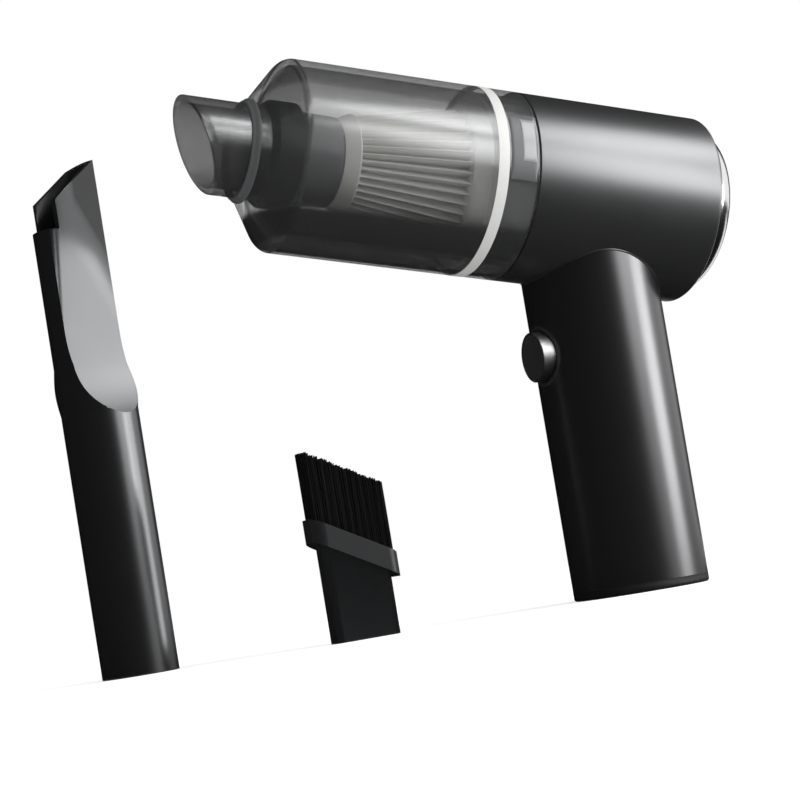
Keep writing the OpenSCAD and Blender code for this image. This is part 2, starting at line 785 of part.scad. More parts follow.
// Bristles: upright strands on a thin slanted slice, cut to a slanted, slightly uneven top
module brush_bristles() {
    w = collar_w - 2.4;
    t = collar_t - 3;
    base = shank_h + collar_h / 2;
    pitch_x = (w - strand_w) / (bristle_cols - 1);
    pitch_y = (t - strand_w) / (bristle_rows - 1);
    color("#0a0a0b") at_brush() union() {
        slant_band(base, base + slice_t) linear_extrude(shank_h * 3)
            square([w, t], center = true);
        for (i = [0:bristle_cols - 1], j = [0:bristle_rows - 1]) {
            x = -w / 2 + strand_w / 2 + i * pitch_x;
            y = -t / 2 + strand_w / 2 + j * pitch_y;
            foot = base - x * tan(brush_slant) + slice_t / 2;
            tip = bristle_len - 1.2 * abs(sin(i * 77 + j * 41));
            translate([x, y, foot]) linear_extrude(tip) square(strand_w, center = true);
        }
    }
}

barrel_shell();
neck_collar();
rear_trim_ring();
exhaust_grille();
exhaust_foam();
handle_shell();
handle_foot();
foot_screws();
button_bezel();
button_spring();
charge_socket();
motor_can();
motor_mount();
motor_gasket();
fan_housing();
cell_left();
cell_right();
battery_holder();
control_board();
tact_switch();
motor_shaft();
impeller();
filter_ring();
filter_pleats();
filter_cage();
filter_seal();
cup_shell();
nozzle_pipe();
nozzle_collar();
inlet_duct();
power_button();
button_trim();
crevice_tool();
brush_holder();
brush_bristles();
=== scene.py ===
"""Looks of a cordless hand-held vacuum cleaner with its crevice tool and brush tool.

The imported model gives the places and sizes. This script makes the finished surfaces round it, in metres and
in the same frame: +Z up, the nose to -X, the origin at the centre of the handle's flat foot.
"""

import logging
import math
from dataclasses import dataclass
from enum import Enum

import bmesh
import bpy
import numpy as np
from mathutils import Matrix


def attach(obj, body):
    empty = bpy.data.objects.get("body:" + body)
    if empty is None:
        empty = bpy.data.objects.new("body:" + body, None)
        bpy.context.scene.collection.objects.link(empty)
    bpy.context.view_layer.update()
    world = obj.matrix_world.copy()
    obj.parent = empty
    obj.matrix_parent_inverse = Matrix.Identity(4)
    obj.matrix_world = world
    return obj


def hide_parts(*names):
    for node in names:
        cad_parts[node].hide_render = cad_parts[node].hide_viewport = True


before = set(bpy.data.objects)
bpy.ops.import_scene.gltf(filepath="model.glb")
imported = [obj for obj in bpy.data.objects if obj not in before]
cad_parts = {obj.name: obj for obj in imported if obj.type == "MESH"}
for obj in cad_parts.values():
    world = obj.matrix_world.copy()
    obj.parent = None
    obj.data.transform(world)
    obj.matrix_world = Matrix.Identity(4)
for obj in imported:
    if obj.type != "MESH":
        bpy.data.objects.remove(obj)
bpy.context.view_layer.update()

MM = 0.001
log = logging.getLogger("vacuum")

# Faces that meet at more than this angle keep a sharp edge.
SMOOTH_ANGLE = math.radians(32)
# Points nearer than this, in metres, are merged: in new meshes, and in copies of CAD nodes.
MERGE_NEW = 1e-7
MERGE_CAD = 2e-6
# A fillet takes at most this share of a side, so that two of them never overlap.
FILLET_SHARE = 0.49
# Radii that differ by less than this count as one, and lengths under TINY as nothing.
SAME_RADIUS = 0.05 * MM
TINY = 1e-9
# A direction with more than this of its length upwards counts as vertical.
STEEP = 0.9
# Steps round the widest turned pieces.
WIDE_STEPS = 256
# The noises of every finish: features per metre, and octaves.
CLOUD_SCALE = 45.0
CLOUD_DETAIL = 4.0
GRAIN_DETAIL = 2.0

Socket = bpy.types.NodeSocket
Point = tuple[float, float, float]


class Slot(Enum):
    """Material slots of the record that the pieces take their finish from."""

    SHELL = "shell_satin"
    HANDLE = "handle_gloss"
    DARK = "dark_plastic"
    CLEAR = "clear_smoke"
    PIPE = "pipe_smoke"
    WHITE = "filter_white"
    PAPER = "filter_paper"
    FOAM = "foam"
    RUBBER = "rubber_dark"
    BRIGHT = "bright_trim"
    STEEL = "steel"
    ALLOY = "fan_alloy"
    CELL = "cell_jacket"
    BOARD = "board"
    TOOL = "tool_black"
    BRISTLE = "bristle"
    DUCT = "duct_grey"
    PAD = "pad_grey"
    FOOT = "foot_black"
    HOLDER = "holder_black"
    SLEEVE = "sleeve_bright"

    @property
    def record_slot(self) -> str:
        """Gives the slot in the record, where some looks share the slot of a plainer one.

        Returns:
            The slot's name in the record.
        """
        shared = {
            Slot.DUCT: Slot.DARK,
            Slot.PAD: Slot.DARK,
            Slot.FOOT: Slot.HANDLE,
            Slot.HOLDER: Slot.TOOL,
            Slot.SLEEVE: Slot.BRIGHT,
        }
        return shared.get(self, self).value


def barrel_axes(tilt: float) -> tuple[np.ndarray, np.ndarray, np.ndarray]:
    """Gives the unit vectors up across the barrel, sideways, and along it to the nose.

    Args:
        tilt: nose-up angle in radians.

    Returns:
        The three vectors, a right-handed set.
    """
    up = np.array([math.sin(tilt), 0.0, math.cos(tilt)])
    side = np.array([0.0, 1.0, 0.0])
    nose = np.array([-math.cos(tilt), 0.0, math.sin(tilt)])
    return up, side, nose


@dataclass(frozen=True)
class Axis:
    """A line that round pieces turn about, with an origin and three unit vectors."""

    origin: np.ndarray
    across: np.ndarray
    side: np.ndarray
    along: np.ndarray

    def place(self, x: np.ndarray, y: np.ndarray, u: np.ndarray) -> np.ndarray:
        """Turns local coordinates into points of the model.

        Args:
            x: distance across the axis.
            y: distance sideways.
            u: distance along the axis.

        Returns:
            An array of points with three coordinates in its last place.
        """
        return (
            self.origin
            + x[..., None] * self.across
            + y[..., None] * self.side
            + u[..., None] * self.along
        )


TILT = math.radians(12.7)
AXIS_HEIGHT = 136.6 * MM
BARREL = Axis(np.array([0.0, 0.0, AXIS_HEIGHT]), *barrel_axes(TILT))
UPRIGHT = Axis(np.zeros(3), np.array([1.0, 0, 0]), np.array([0, 1.0, 0]), np.array([0, 0, 1.0]))
CREVICE_X = -162 * MM
CREVICE_Y = 55 * MM
CREVICE_TURN = math.radians(-62)
CREVICE_AXIS = Axis(
    np.array([CREVICE_X, CREVICE_Y, 0.0]),
    np.array([math.cos(CREVICE_TURN), math.sin(CREVICE_TURN), 0.0]),
    np.array([-math.sin(CREVICE_TURN), math.cos(CREVICE_TURN), 0.0]),
    UPRIGHT.along,
)
BUTTON_DROP = 53 * MM
BUTTON_AXIS = Axis(
    np.array([0.0, 0.0, AXIS_HEIGHT - BUTTON_DROP]),
    np.array([0, 0, 1.0]),
    np.array([0, 1.0, 0]),
    np.array([-1.0, 0, 0]),
)


# Meshes


def linked(name: str, data: bpy.types.ID) -> bpy.types.Object:
    """Makes an object from its data and links it to the scene.

    Args:
        name: name of the object.
        data: the mesh, lamp or camera that it holds.

    Returns:
        The new object.
    """
    thing = bpy.data.objects.new(name, data)
    bpy.context.scene.collection.objects.link(thing)
    return thing


def vertex_points(mesh: bpy.types.Mesh) -> np.ndarray:
    """Reads the places of a mesh's vertices.

    Args:
        mesh: mesh to read.

    Returns:
        One row of three coordinates for each vertex.
    """
    points = np.empty(len(mesh.vertices) * 3)
    mesh.vertices.foreach_get("co", points)
    return points.reshape(-1, 3)


def mesh_object(name: str, points: np.ndarray, faces: np.ndarray | list) -> bpy.types.Object:
    """Makes an object from points and faces, closes its normals outwards and smooths it.

    Args:
        name: name of the object.
        points: array of points, one row each.
        faces: rows of point numbers.

    Returns:
        The new object, linked to the scene.
    """
    mesh = bpy.data.meshes.new(name)
    mesh.from_pydata(points.tolist(), [], [tuple(int(i) for i in f) for f in faces])
    work = bmesh.new()
    work.from_mesh(mesh)
    bmesh.ops.remove_doubles(work, verts=work.verts, dist=MERGE_NEW)
    bmesh.ops.recalc_face_normals(work, faces=work.faces)
    if work.calc_volume(signed=True) < 0:
        bmesh.ops.reverse_faces(work, faces=work.faces)
    work.to_mesh(mesh)
    work.free()
    smooth(mesh)
    return linked(name, mesh)


def smooth(mesh: bpy.types.Mesh, angle: float = SMOOTH_ANGLE) -> None:
    """Shades a mesh smooth, with sharp edges where faces meet at more than an angle."""
    mesh.polygons.foreach_set("use_smooth", np.ones(len(mesh.polygons), bool))
    mesh.set_sharp_from_angle(angle=angle)


def grid_faces(rows: int, cols: int, wrap_rows: bool, wrap_cols: bool) -> np.ndarray:
    """Numbers the four-sided faces of a grid of points.

    Args:
        rows: points in the first direction.
        cols: points in the second direction.
        wrap_rows: whether the last row meets the first.
        wrap_cols: whether the last column meets the first.

    Returns:
        One row of four point numbers for each face.
    """
    i = np.arange(rows if wrap_rows else rows - 1)
    j = np.arange(cols if wrap_cols else cols - 1)
    a, b = np.meshgrid(i, j, indexing="ij")
    c, d = (a + 1) % rows, (b + 1) % cols
    quad = [a * cols + b, a * cols + d, c * cols + d, c * cols + b]
    return np.stack(quad, -1).reshape(-1, 4)


def filleted(corners: list[tuple[float, float, float]], closed: bool = True, steps: int = 6) -> np.ndarray:
    """Rounds the corners of an outline.

    Each corner gives way to an arc that is tangent to both of its sides. The arc starts at the fillet's
    radius over the tangent of half the corner's angle, and it is the rational curve of second degree through
    its start, the corner and its end, with the corner weighted by the sine of half the angle.

    Args:
        corners: (x, y, fillet radius) of each corner.
        closed: whether the last corner joins the first.
        steps: points on each arc, less one.

    Returns:
        The outline's points.
    """
    pts = np.array([c[:2] for c in corners], float)
    out = []
    for i, (_, _, radius) in enumerate(corners):
        here = pts[i]
        ends = not closed and i in (0, len(corners) - 1)
        if radius <= 0 or ends:
            out.append(here[None])
            continue
        before, after = pts[i - 1] - here, pts[(i + 1) % len(pts)] - here
        la, lb = np.linalg.norm(before), np.linalg.norm(after)
        before, after = before / la, after / lb
        half = math.acos(float(np.clip(before @ after, -1, 1))) / 2
        reach = min(radius / math.tan(half), FILLET_SHARE * la, FILLET_SHARE * lb)
        t = np.linspace(0, 1, steps + 1)[:, None]
        w = math.sin(half)
        weight = (1 - t) ** 2 + 2 * w * t * (1 - t) + t**2
        start, end = here + before * reach, here + after * reach
        curve = (1 - t) ** 2 * start + 2 * w * t * (1 - t) * here + t**2 * end
        out.append(curve / weight)
    return np.concatenate(out)


def round_normals(
    mesh: bpy.types.Mesh, axis: Axis, radius: float | None = None, closest: float = 0.985
) -> None:
    """Gives the faces that lie on cylinders about an axis the exact normals of those cylinders.

    A corner's new normal is the unit vector from the axis to the corner, turned to the side that its face
    looks to. Faces that lean more than a little from that vector keep their own normals.

    Args:
        mesh: mesh to change.
        axis: axis of the cylinders.
        radius: only faces this far from the axis change, or all that fit where it is left out.
        closest: least cosine between a face's normal and the vector from the axis.
    """
    corners = np.empty(len(mesh.loops), np.int32)
    mesh.loops.foreach_get("vertex_index", corners)
    points = vertex_points(mesh)
    normals = np.empty(len(mesh.loops) * 3)
    mesh.corner_normals.foreach_get("vector", normals)
    normals = normals.reshape(-1, 3)
    outward = np.empty(len(mesh.polygons) * 3)
    mesh.polygons.foreach_get("normal", outward)
    count = np.empty(len(mesh.polygons), np.int32)
    mesh.polygons.foreach_get("loop_total", count)
    outward = np.repeat(outward.reshape(-1, 3), count, axis=0)
    away = points[corners] - axis.origin
    away = away - (away @ axis.along)[:, None] * axis.along
    far = np.linalg.norm(away, axis=1)
    away /= np.maximum(far, TINY)[:, None]
    lean = np.sum(away * outward, axis=1)
    fits = np.abs(lean) > closest
    if radius is not None:
        fits &= np.abs(far - radius) < SAME_RADIUS
    normals[fits] = away[fits] * np.sign(lean[fits])[:, None]
    mesh.normals_split_custom_set(normals.tolist())


def turned(name: str, outline: np.ndarray, axis: Axis, segments: int = 160) -> bpy.types.Object:
    """Turns an outline about an axis.

    The surface is (r cos t, r sin t, u) for each outline point (r, u) and each angle t. Points with r of zero
    fall together in one pole.

    Args:
        name: name of the piece.
        outline: closed outline, (r, u) in each row.
        axis: axis that it turns about.
        segments: steps round the axis.

    Returns:
        The turned piece.
    """
    t = np.linspace(0, 2 * np.pi, segments, endpoint=False)
    r, u = outline[:, 0], outline[:, 1]
    x = r[:, None] * np.cos(t)
    y = r[:, None] * np.sin(t)
    points = axis.place(x, y, np.broadcast_to(u[:, None], x.shape)).reshape(-1, 3)
    return mesh_object(name, points, grid_faces(len(outline), segments, True, True))


def smooth_copy(node: str, name: str, angle: float = SMOOTH_ANGLE) -> bpy.types.Object:
    """Copies a node's mesh, merges its loose triangles and smooths it.

    Args:
        node: name of the CAD node.
        name: name of the copy.
        angle: edges sharper than this stay sharp.

    Returns:
        The copy, which replaces nothing yet.
    """
    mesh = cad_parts[node].data.copy()
    mesh.name = name
    mesh.materials.clear()
    work = bmesh.new()
    work.from_mesh(mesh)
    bmesh.ops.remove_doubles(work, verts=work.verts, dist=MERGE_CAD)
    bmesh.ops.dissolve_degenerate(work, edges=work.edges, dist=MERGE_NEW)
    work.to_mesh(mesh)
    work.free()
    smooth(mesh, angle)
    return linked(name, mesh)


# Materials


def math_node(
    tree: bpy.types.NodeTree, kind: str, *values: float | Socket, clamp: bool = False
) -> Socket:
    """Adds a Math node and gives its output.

    Args:
        tree: node tree to add to.
        kind: the node's operation.
        values: a number or a socket for each input.
        clamp: whether the result is kept between 0 and 1.

    Returns:
        The output socket.
    """
    node = tree.nodes.new("ShaderNodeMath")
    node.operation = kind
    node.use_clamp = clamp
    for socket, value in zip(node.inputs, values):
        if isinstance(value, (int, float)):
            socket.default_value = value
        else:
            tree.links.new(value, socket)
    return node.outputs[0]


def scaled(tree: bpy.types.NodeTree, colour: Socket, factor: Socket) -> Socket:
    """Adds a node that multiplies a colour by a factor.

    Args:
        tree: node tree to add to.
        colour: socket with the colour.
        factor: socket with the factor.

    Returns:
        The output socket.
    """
    node = tree.nodes.new("ShaderNodeVectorMath")
    node.operation = "SCALE"
    tree.links.new(colour, node.inputs[0])
    tree.links.new(factor, node.inputs["Scale"])
    return node.outputs["Vector"]


def moulded_surface() -> bpy.types.ShaderNodeTree:
    """Builds the group that gives every finish its grain, its uneven gloss and its faint cloudiness.

    Two noises on Object coordinates: a coarse one shifts the colour and the roughness, a fine one gives the
    grain of the mould or the paint as a height.

    Returns:
        The node group.
    """
    group = bpy.data.node_groups.new("moulded_surface", "ShaderNodeTree")
    sockets = group.interface
    for label, kind, value in (
        ("Color", "NodeSocketColor", (0.5, 0.5, 0.5, 1)),
        ("Cloud", "NodeSocketFloat", 0.06),
        ("Roughness", "NodeSocketFloat", 0.4),
        ("Uneven", "NodeSocketFloat", 0.05),
        ("Grain Scale", "NodeSocketFloat", 2500.0),
    ):
        socket = sockets.new_socket(name=label, in_out="INPUT", socket_type=kind)
        socket.default_value = value
    for label in ("Color", "Roughness", "Height"):
        kind = "NodeSocketColor" if label == "Color" else "NodeSocketFloat"
        sockets.new_socket(name=label, in_out="OUTPUT", socket_type=kind)
    n = group.nodes
    given = n.new("NodeGroupInput")
    result = n.new("NodeGroupOutput")
    place = n.new("ShaderNodeTexCoord")
    coarse = n.new("ShaderNodeTexNoise")
    coarse.inputs["Scale"].default_value = CLOUD_SCALE
    coarse.inputs["Detail"].default_value = CLOUD_DETAIL
    fine = n.new("ShaderNodeTexNoise")
    fine.inputs["Detail"].default_value = GRAIN_DETAIL
    links = group.links
    links.new(place.outputs["Object"], coarse.inputs["Vector"])
    links.new(place.outputs["Object"], fine.inputs["Vector"])
    links.new(given.outputs["Grain Scale"], fine.inputs["Scale"])
    centred = math_node(group, "SUBTRACT", coarse.outputs["Fac"], 0.5)
    shade = math_node(group, "MULTIPLY_ADD", centred, given.outputs["Cloud"], 1.0)
    links.new(scaled(group, given.outputs["Color"], shade), result.inputs["Color"])
    rough = math_node(
        group, "MULTIPLY_ADD", centred, given.outputs["Uneven"], given.outputs["Roughness"]
    )
    links.new(rough, result.inputs["Roughness"])
    links.new(fine.outputs["Fac"], result.inputs["Height"])
    return group


@dataclass(frozen=True)
class Finish:
    """A finish: one colour with its gloss, grain and, for clear plastic, how much it hides."""

    name: str
    colour: tuple[float, float, float]
    roughness: float
    metallic: float = 0.0
    coat: float = 0.0
    coat_roughness: float = 0.08
    specular: float = 0.5
    cloud: float = 0.08
    uneven: float = 0.06
    grain_scale: float = 2500.0
    grain: float = 0.04
    grain_depth: float = 0.02 * MM
    hides: float | None = None
    hides_edge: float = 0.95
    edge_blend: float = 0.35
    # Adds the cup's painted shade, and its deeper cone and edge.
    smoke_and_painted_shade: bool = False
    sheen: float = 0.0

    def build(self, surface: bpy.types.ShaderNodeTree) -> bpy.types.Material:
        """Makes the material.

        Args:
            surface: the shared group for grain and gloss.

        Returns:
            The material.
        """
        material = bpy.data.materials.new(self.name)
        material.use_nodes = True
        tree = material.node_tree
        shader = tree.nodes["Principled BSDF"]
        group = tree.nodes.new("ShaderNodeGroup")
        group.node_tree = surface
        group.inputs["Color"].default_value = (*self.colour, 1)
        group.inputs["Cloud"].default_value = self.cloud
        group.inputs["Roughness"].default_value = self.roughness
        group.inputs["Uneven"].default_value = self.uneven
        group.inputs["Grain Scale"].default_value = self.grain_scale
        bump = tree.nodes.new("ShaderNodeBump")
        bump.inputs["Strength"].default_value = self.grain
        bump.inputs["Distance"].default_value = self.grain_depth
        tree.links.new(group.outputs["Color"], shader.inputs["Base Color"])
        tree.links.new(group.outputs["Roughness"], shader.inputs["Roughness"])
        tree.links.new(group.outputs["Height"], bump.inputs["Height"])
        tree.links.new(bump.outputs["Normal"], shader.inputs["Normal"])
        shader.inputs["Metallic"].default_value = self.metallic
        shader.inputs["Coat Weight"].default_value = self.coat
        shader.inputs["Coat Roughness"].default_value = self.coat_roughness
        shader.inputs["Specular IOR Level"].default_value = self.specular
        shader.inputs["Sheen Weight"].default_value = self.sheen
        if self.hides is not None:
            edges = tree.nodes.new("ShaderNodeLayerWeight")
            edges.inputs["Blend"].default_value = self.edge_blend
            more = self.hides_edge - self.hides
            alpha = math_node(
                tree, "MULTIPLY_ADD", edges.outputs["Facing"], more, self.hides, clamp=True
            )
            # The smoked cup gets painted shade along its top and lower side, where its colour is darker too.
            if self.smoke_and_painted_shade:
                smoke_and_shade = tree.nodes.new("ShaderNodeGroup")
                smoke_and_shade.node_tree = SmokeTintAndPaintedShade().build()
                alpha = math_node(tree, "ADD", alpha, smoke_and_shade.outputs["Depth"], clamp=True)
                painted_shade_colour = scaled(tree, group.outputs["Color"], smoke_and_shade.outputs["Painted Shade"])
                tree.links.new(painted_shade_colour, shader.inputs["Base Color"])
            tree.links.new(alpha, shader.inputs["Alpha"])
        return material


def ramp(
    tree: bpy.types.NodeTree, value: Socket, low: float, high: float, at_low: float, at_high: float
) -> Socket:
    """Adds a Map Range node that goes smoothly from one result to another.

    Args:
        tree: node tree to add to.
        value: socket that is mapped.
        low: value that gives at_low.
        high: value that gives at_high.
        at_low: result at low.
        at_high: result at high.

    Returns:
        The output socket.
    """
    node = tree.nodes.new("ShaderNodeMapRange")
    node.interpolation_type = "SMOOTHSTEP"
    ends = {"From Min": low, "From Max": high, "To Min": at_low, "To Max": at_high}
    for label, number in ends.items():
        node.inputs[label].default_value = number
    tree.links.new(value, node.inputs["Value"])
    return node.outputs["Result"]


def along_axis(tree: bpy.types.NodeTree, place: Socket, axis: Axis, way: np.ndarray) -> Socket:
    """Adds nodes that give how far a point lies from an axis's origin in one direction.

    Args:
        tree: node tree to add to.
        place: socket with Object coordinates.
        axis: axis whose origin is taken.
        way: unit vector of the direction.

    Returns:
        The output socket, in metres.
    """
    dot = tree.nodes.new("ShaderNodeVectorMath")
    dot.operation = "DOT_PRODUCT"
    dot.inputs[1].default_value = tuple(float(c) for c in way)
    tree.links.new(place, dot.inputs[0])
    return math_node(tree, "SUBTRACT", dot.outputs["Value"], float(axis.origin @ way))


@dataclass(frozen=True)
class SmokeTintAndPaintedShade:
    """Where the tinted cup hides more, and by how much.

    It hides more in the cone and along its edge circle. It also has painted shade: a darker zone along the
    top, which ends in a line, and another along the lower side, which also darkens the colour there and
    lightens again in a strip before the lower edge. Heights are measured across the barrel's axis and lengths
    along it.
    """

    # Painted shade: the amounts on the lower side and the top, how much the lower one darkens the colour, and
    # the heights where both start and are full. The strip lightens the lower painted shade again at the lower
    # edge.
    painted_under_shade: float = 0.82
    top: float = 0.22
    cone: float = 0.16
    edge: float = 0.32
    painted_darkening: float = 0.55
    painted_under_start: float = -19.0 * MM
    painted_under_full: float = -22.6 * MM
    painted_strip_start: float = -28.4 * MM
    painted_strip_full: float = -29.6 * MM
    painted_strip_share: float = 0.25
    painted_top_start: float = 19.2 * MM
    painted_top_full: float = 20.2 * MM
    cone_start: float = 107.6 * MM
    cone_full: float = 108.4 * MM
    edge_at: float = 108.2 * MM
    edge_half: float = 0.25 * MM
    edge_end: float = 0.7 * MM

    def build(self) -> bpy.types.ShaderNodeTree:
        """Builds the group that says how much the cup hides at each place.

        Returns:
            The node group. Its outputs are the amount that is added to what the wall hides, painted shade
            included, and the painted shade factor that its colour is multiplied by.
        """
        group = bpy.data.node_groups.new("smoke_tint_and_painted_shade", "ShaderNodeTree")
        amounts = {"Painted Underside": self.painted_under_shade, "Top": self.top, "Cone": self.cone, "Edge": self.edge}
        for label, value in amounts.items():
            socket = group.interface.new_socket(name=label, in_out="INPUT", socket_type="NodeSocketFloat")
            socket.default_value = value
        for label in ("Depth", "Painted Shade"):
            group.interface.new_socket(name=label, in_out="OUTPUT", socket_type="NodeSocketFloat")
        given = group.nodes.new("NodeGroupInput")
        result = group.nodes.new("NodeGroupOutput")
        place = group.nodes.new("ShaderNodeTexCoord").outputs["Object"]
        height = along_axis(group, place, BARREL, BARREL.across)
        along = along_axis(group, place, BARREL, BARREL.along)
        # Painted shade along the lower side, lightened in a strip at the lower edge, and along the top.
        strip = ramp(group, height, self.painted_strip_full, self.painted_strip_start, self.painted_strip_share, 1.0)
        under = ramp(group, height, self.painted_under_start, self.painted_under_full, 0.0, 1.0)
        under = math_node(group, "MULTIPLY", under, strip)
        over = ramp(group, height, self.painted_top_start, self.painted_top_full, 0.0, 1.0)
        cone = ramp(group, along, self.cone_start, self.cone_full, 0.0, 1.0)
        off_edge = math_node(group, "SUBTRACT", along, self.edge_at)
        off_edge = math_node(group, "ABSOLUTE", off_edge)
        edge = ramp(group, off_edge, self.edge_half, self.edge_end, 1.0, 0.0)
        depth = math_node(group, "MULTIPLY", under, given.outputs["Painted Underside"])
        for mask, label in ((over, "Top"), (cone, "Cone"), (edge, "Edge")):
            deeper = math_node(group, "MULTIPLY", mask, given.outputs[label])
            depth = math_node(group, "ADD", depth, deeper)
        group.links.new(depth, result.inputs["Depth"])
        # The painted shade on the lower side also darkens the colour.
        shade = math_node(group, "MULTIPLY_ADD", under, -self.painted_darkening, 1.0)
        group.links.new(shade, result.inputs["Painted Shade"])
        return group


FINISHES = {
    Slot.SHELL: Finish(
        "satin_gunmetal", (0.19, 0.193, 0.197), 0.35, metallic=0.9, grain=0.06, grain_scale=4000
    ),
    Slot.HANDLE: Finish("satin_handle", (0.115, 0.115, 0.118), 0.28, metallic=0.9, grain=0.02, uneven=0.03),
    Slot.DARK: Finish("dark_moulded", (0.035, 0.036, 0.038), 0.42, grain=0.12),
    Slot.CLEAR: Finish(
        "smoked_clear_with_painted_shade",
        (0.43, 0.434, 0.438),
        0.20,
        metallic=0.85,
        grain=0.0,
        hides=0.15,
        hides_edge=0.5,
        # Painted shade along the top and lower side of the cup.
        smoke_and_painted_shade=True,
    ),
    Slot.PIPE: Finish("smoked_pipe", (0.46, 0.464, 0.468), 0.24, metallic=0.9, grain=0.0, hides=0.6),
    Slot.WHITE: Finish("white_moulded", (0.80, 0.80, 0.78), 0.45, grain=0.05),
    Slot.PAPER: Finish(
        "filter_paper", (0.74, 0.74, 0.71), 0.85, grain=0.35, grain_scale=1800, cloud=0.12, sheen=0.2
    ),
    Slot.FOAM: Finish(
        "open_foam", (0.02, 0.02, 0.021), 0.95, grain=0.9, grain_scale=900, grain_depth=0.3 * MM
    ),
    Slot.RUBBER: Finish("soft_rubber", (0.02, 0.02, 0.02), 0.7, grain=0.2),
    Slot.BRIGHT: Finish("bright_metal", (0.80, 0.80, 0.81), 0.16, metallic=1.0, grain=0.03, uneven=0.05),
    Slot.STEEL: Finish("bare_steel", (0.45, 0.46, 0.47), 0.3, metallic=1.0, grain=0.08),
    Slot.ALLOY: Finish("cast_alloy", (0.55, 0.56, 0.57), 0.38, metallic=1.0, grain=0.1),
    Slot.CELL: Finish("cell_jacket", (0.04, 0.16, 0.36), 0.35, coat=0.3),
    Slot.BOARD: Finish("circuit_board", (0.01, 0.09, 0.035), 0.4, coat=0.4, cloud=0.3),
    Slot.TOOL: Finish("satin_black", (0.120, 0.122, 0.125), 0.29, metallic=0.9, grain=0.05, uneven=0.03),
    Slot.HOLDER: Finish("satin_holder", (0.019, 0.020, 0.0215), 0.38, grain=0.08),
    Slot.SLEEVE: Finish("brushed_sleeve", (0.80, 0.80, 0.81), 0.42, metallic=1.0, grain=0.03),
    Slot.FOOT: Finish("plain_black", (0.012, 0.012, 0.013), 0.55, specular=0.3, grain=0.1),
    Slot.DUCT: Finish("grey_duct", (0.13, 0.133, 0.137), 0.35, specular=0.4, grain=0.02),
    Slot.PAD: Finish("grey_pad", (0.34, 0.345, 0.35), 0.3, coat=0.3, grain=0.02),
    Slot.BRISTLE: Finish("nylon_strands", (0.008, 0.008, 0.009), 0.4, cloud=0.4),
}


class Wardrobe:
    """Keeps one built material for each slot and puts it on pieces."""

    def __init__(self) -> None:
        """Builds the shared group and a material for every slot."""
        surface = moulded_surface()
        self.materials = {slot: finish.build(surface) for slot, finish in FINISHES.items()}

    def dress(self, thing: bpy.types.Object, slot: Slot) -> None:
        """Puts a slot's material on a piece as its only material."""
        thing.data.materials.clear()
        thing.data.materials.append(self.materials[slot])

    def dress_node(self, node: str, slot: Slot) -> None:
        """Gives a CAD node that stays in view the slot's material.

        Args:
            node: name of the node.
            slot: material slot.
        """
        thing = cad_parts[node]
        for place in thing.material_slots:
            place.material = self.materials[slot]

    def finish_piece(self, thing: bpy.types.Object, slot: Slot, body: str, *nodes: str) -> bpy.types.Object:
        """Dresses a new piece and ties it to its body and the nodes that it stands for.

        Args:
            thing: the piece.
            slot: material slot.
            body: CAD body that carries it.
            nodes: CAD nodes that it replaces.

        Returns:
            The same piece.
        """
        self.dress(thing, slot)
        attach(thing, body)
        if nodes:
            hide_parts(*nodes)
        log.info("%s on %s, %d faces", thing.name, body, len(thing.data.polygons))
        return thing


# Pieces


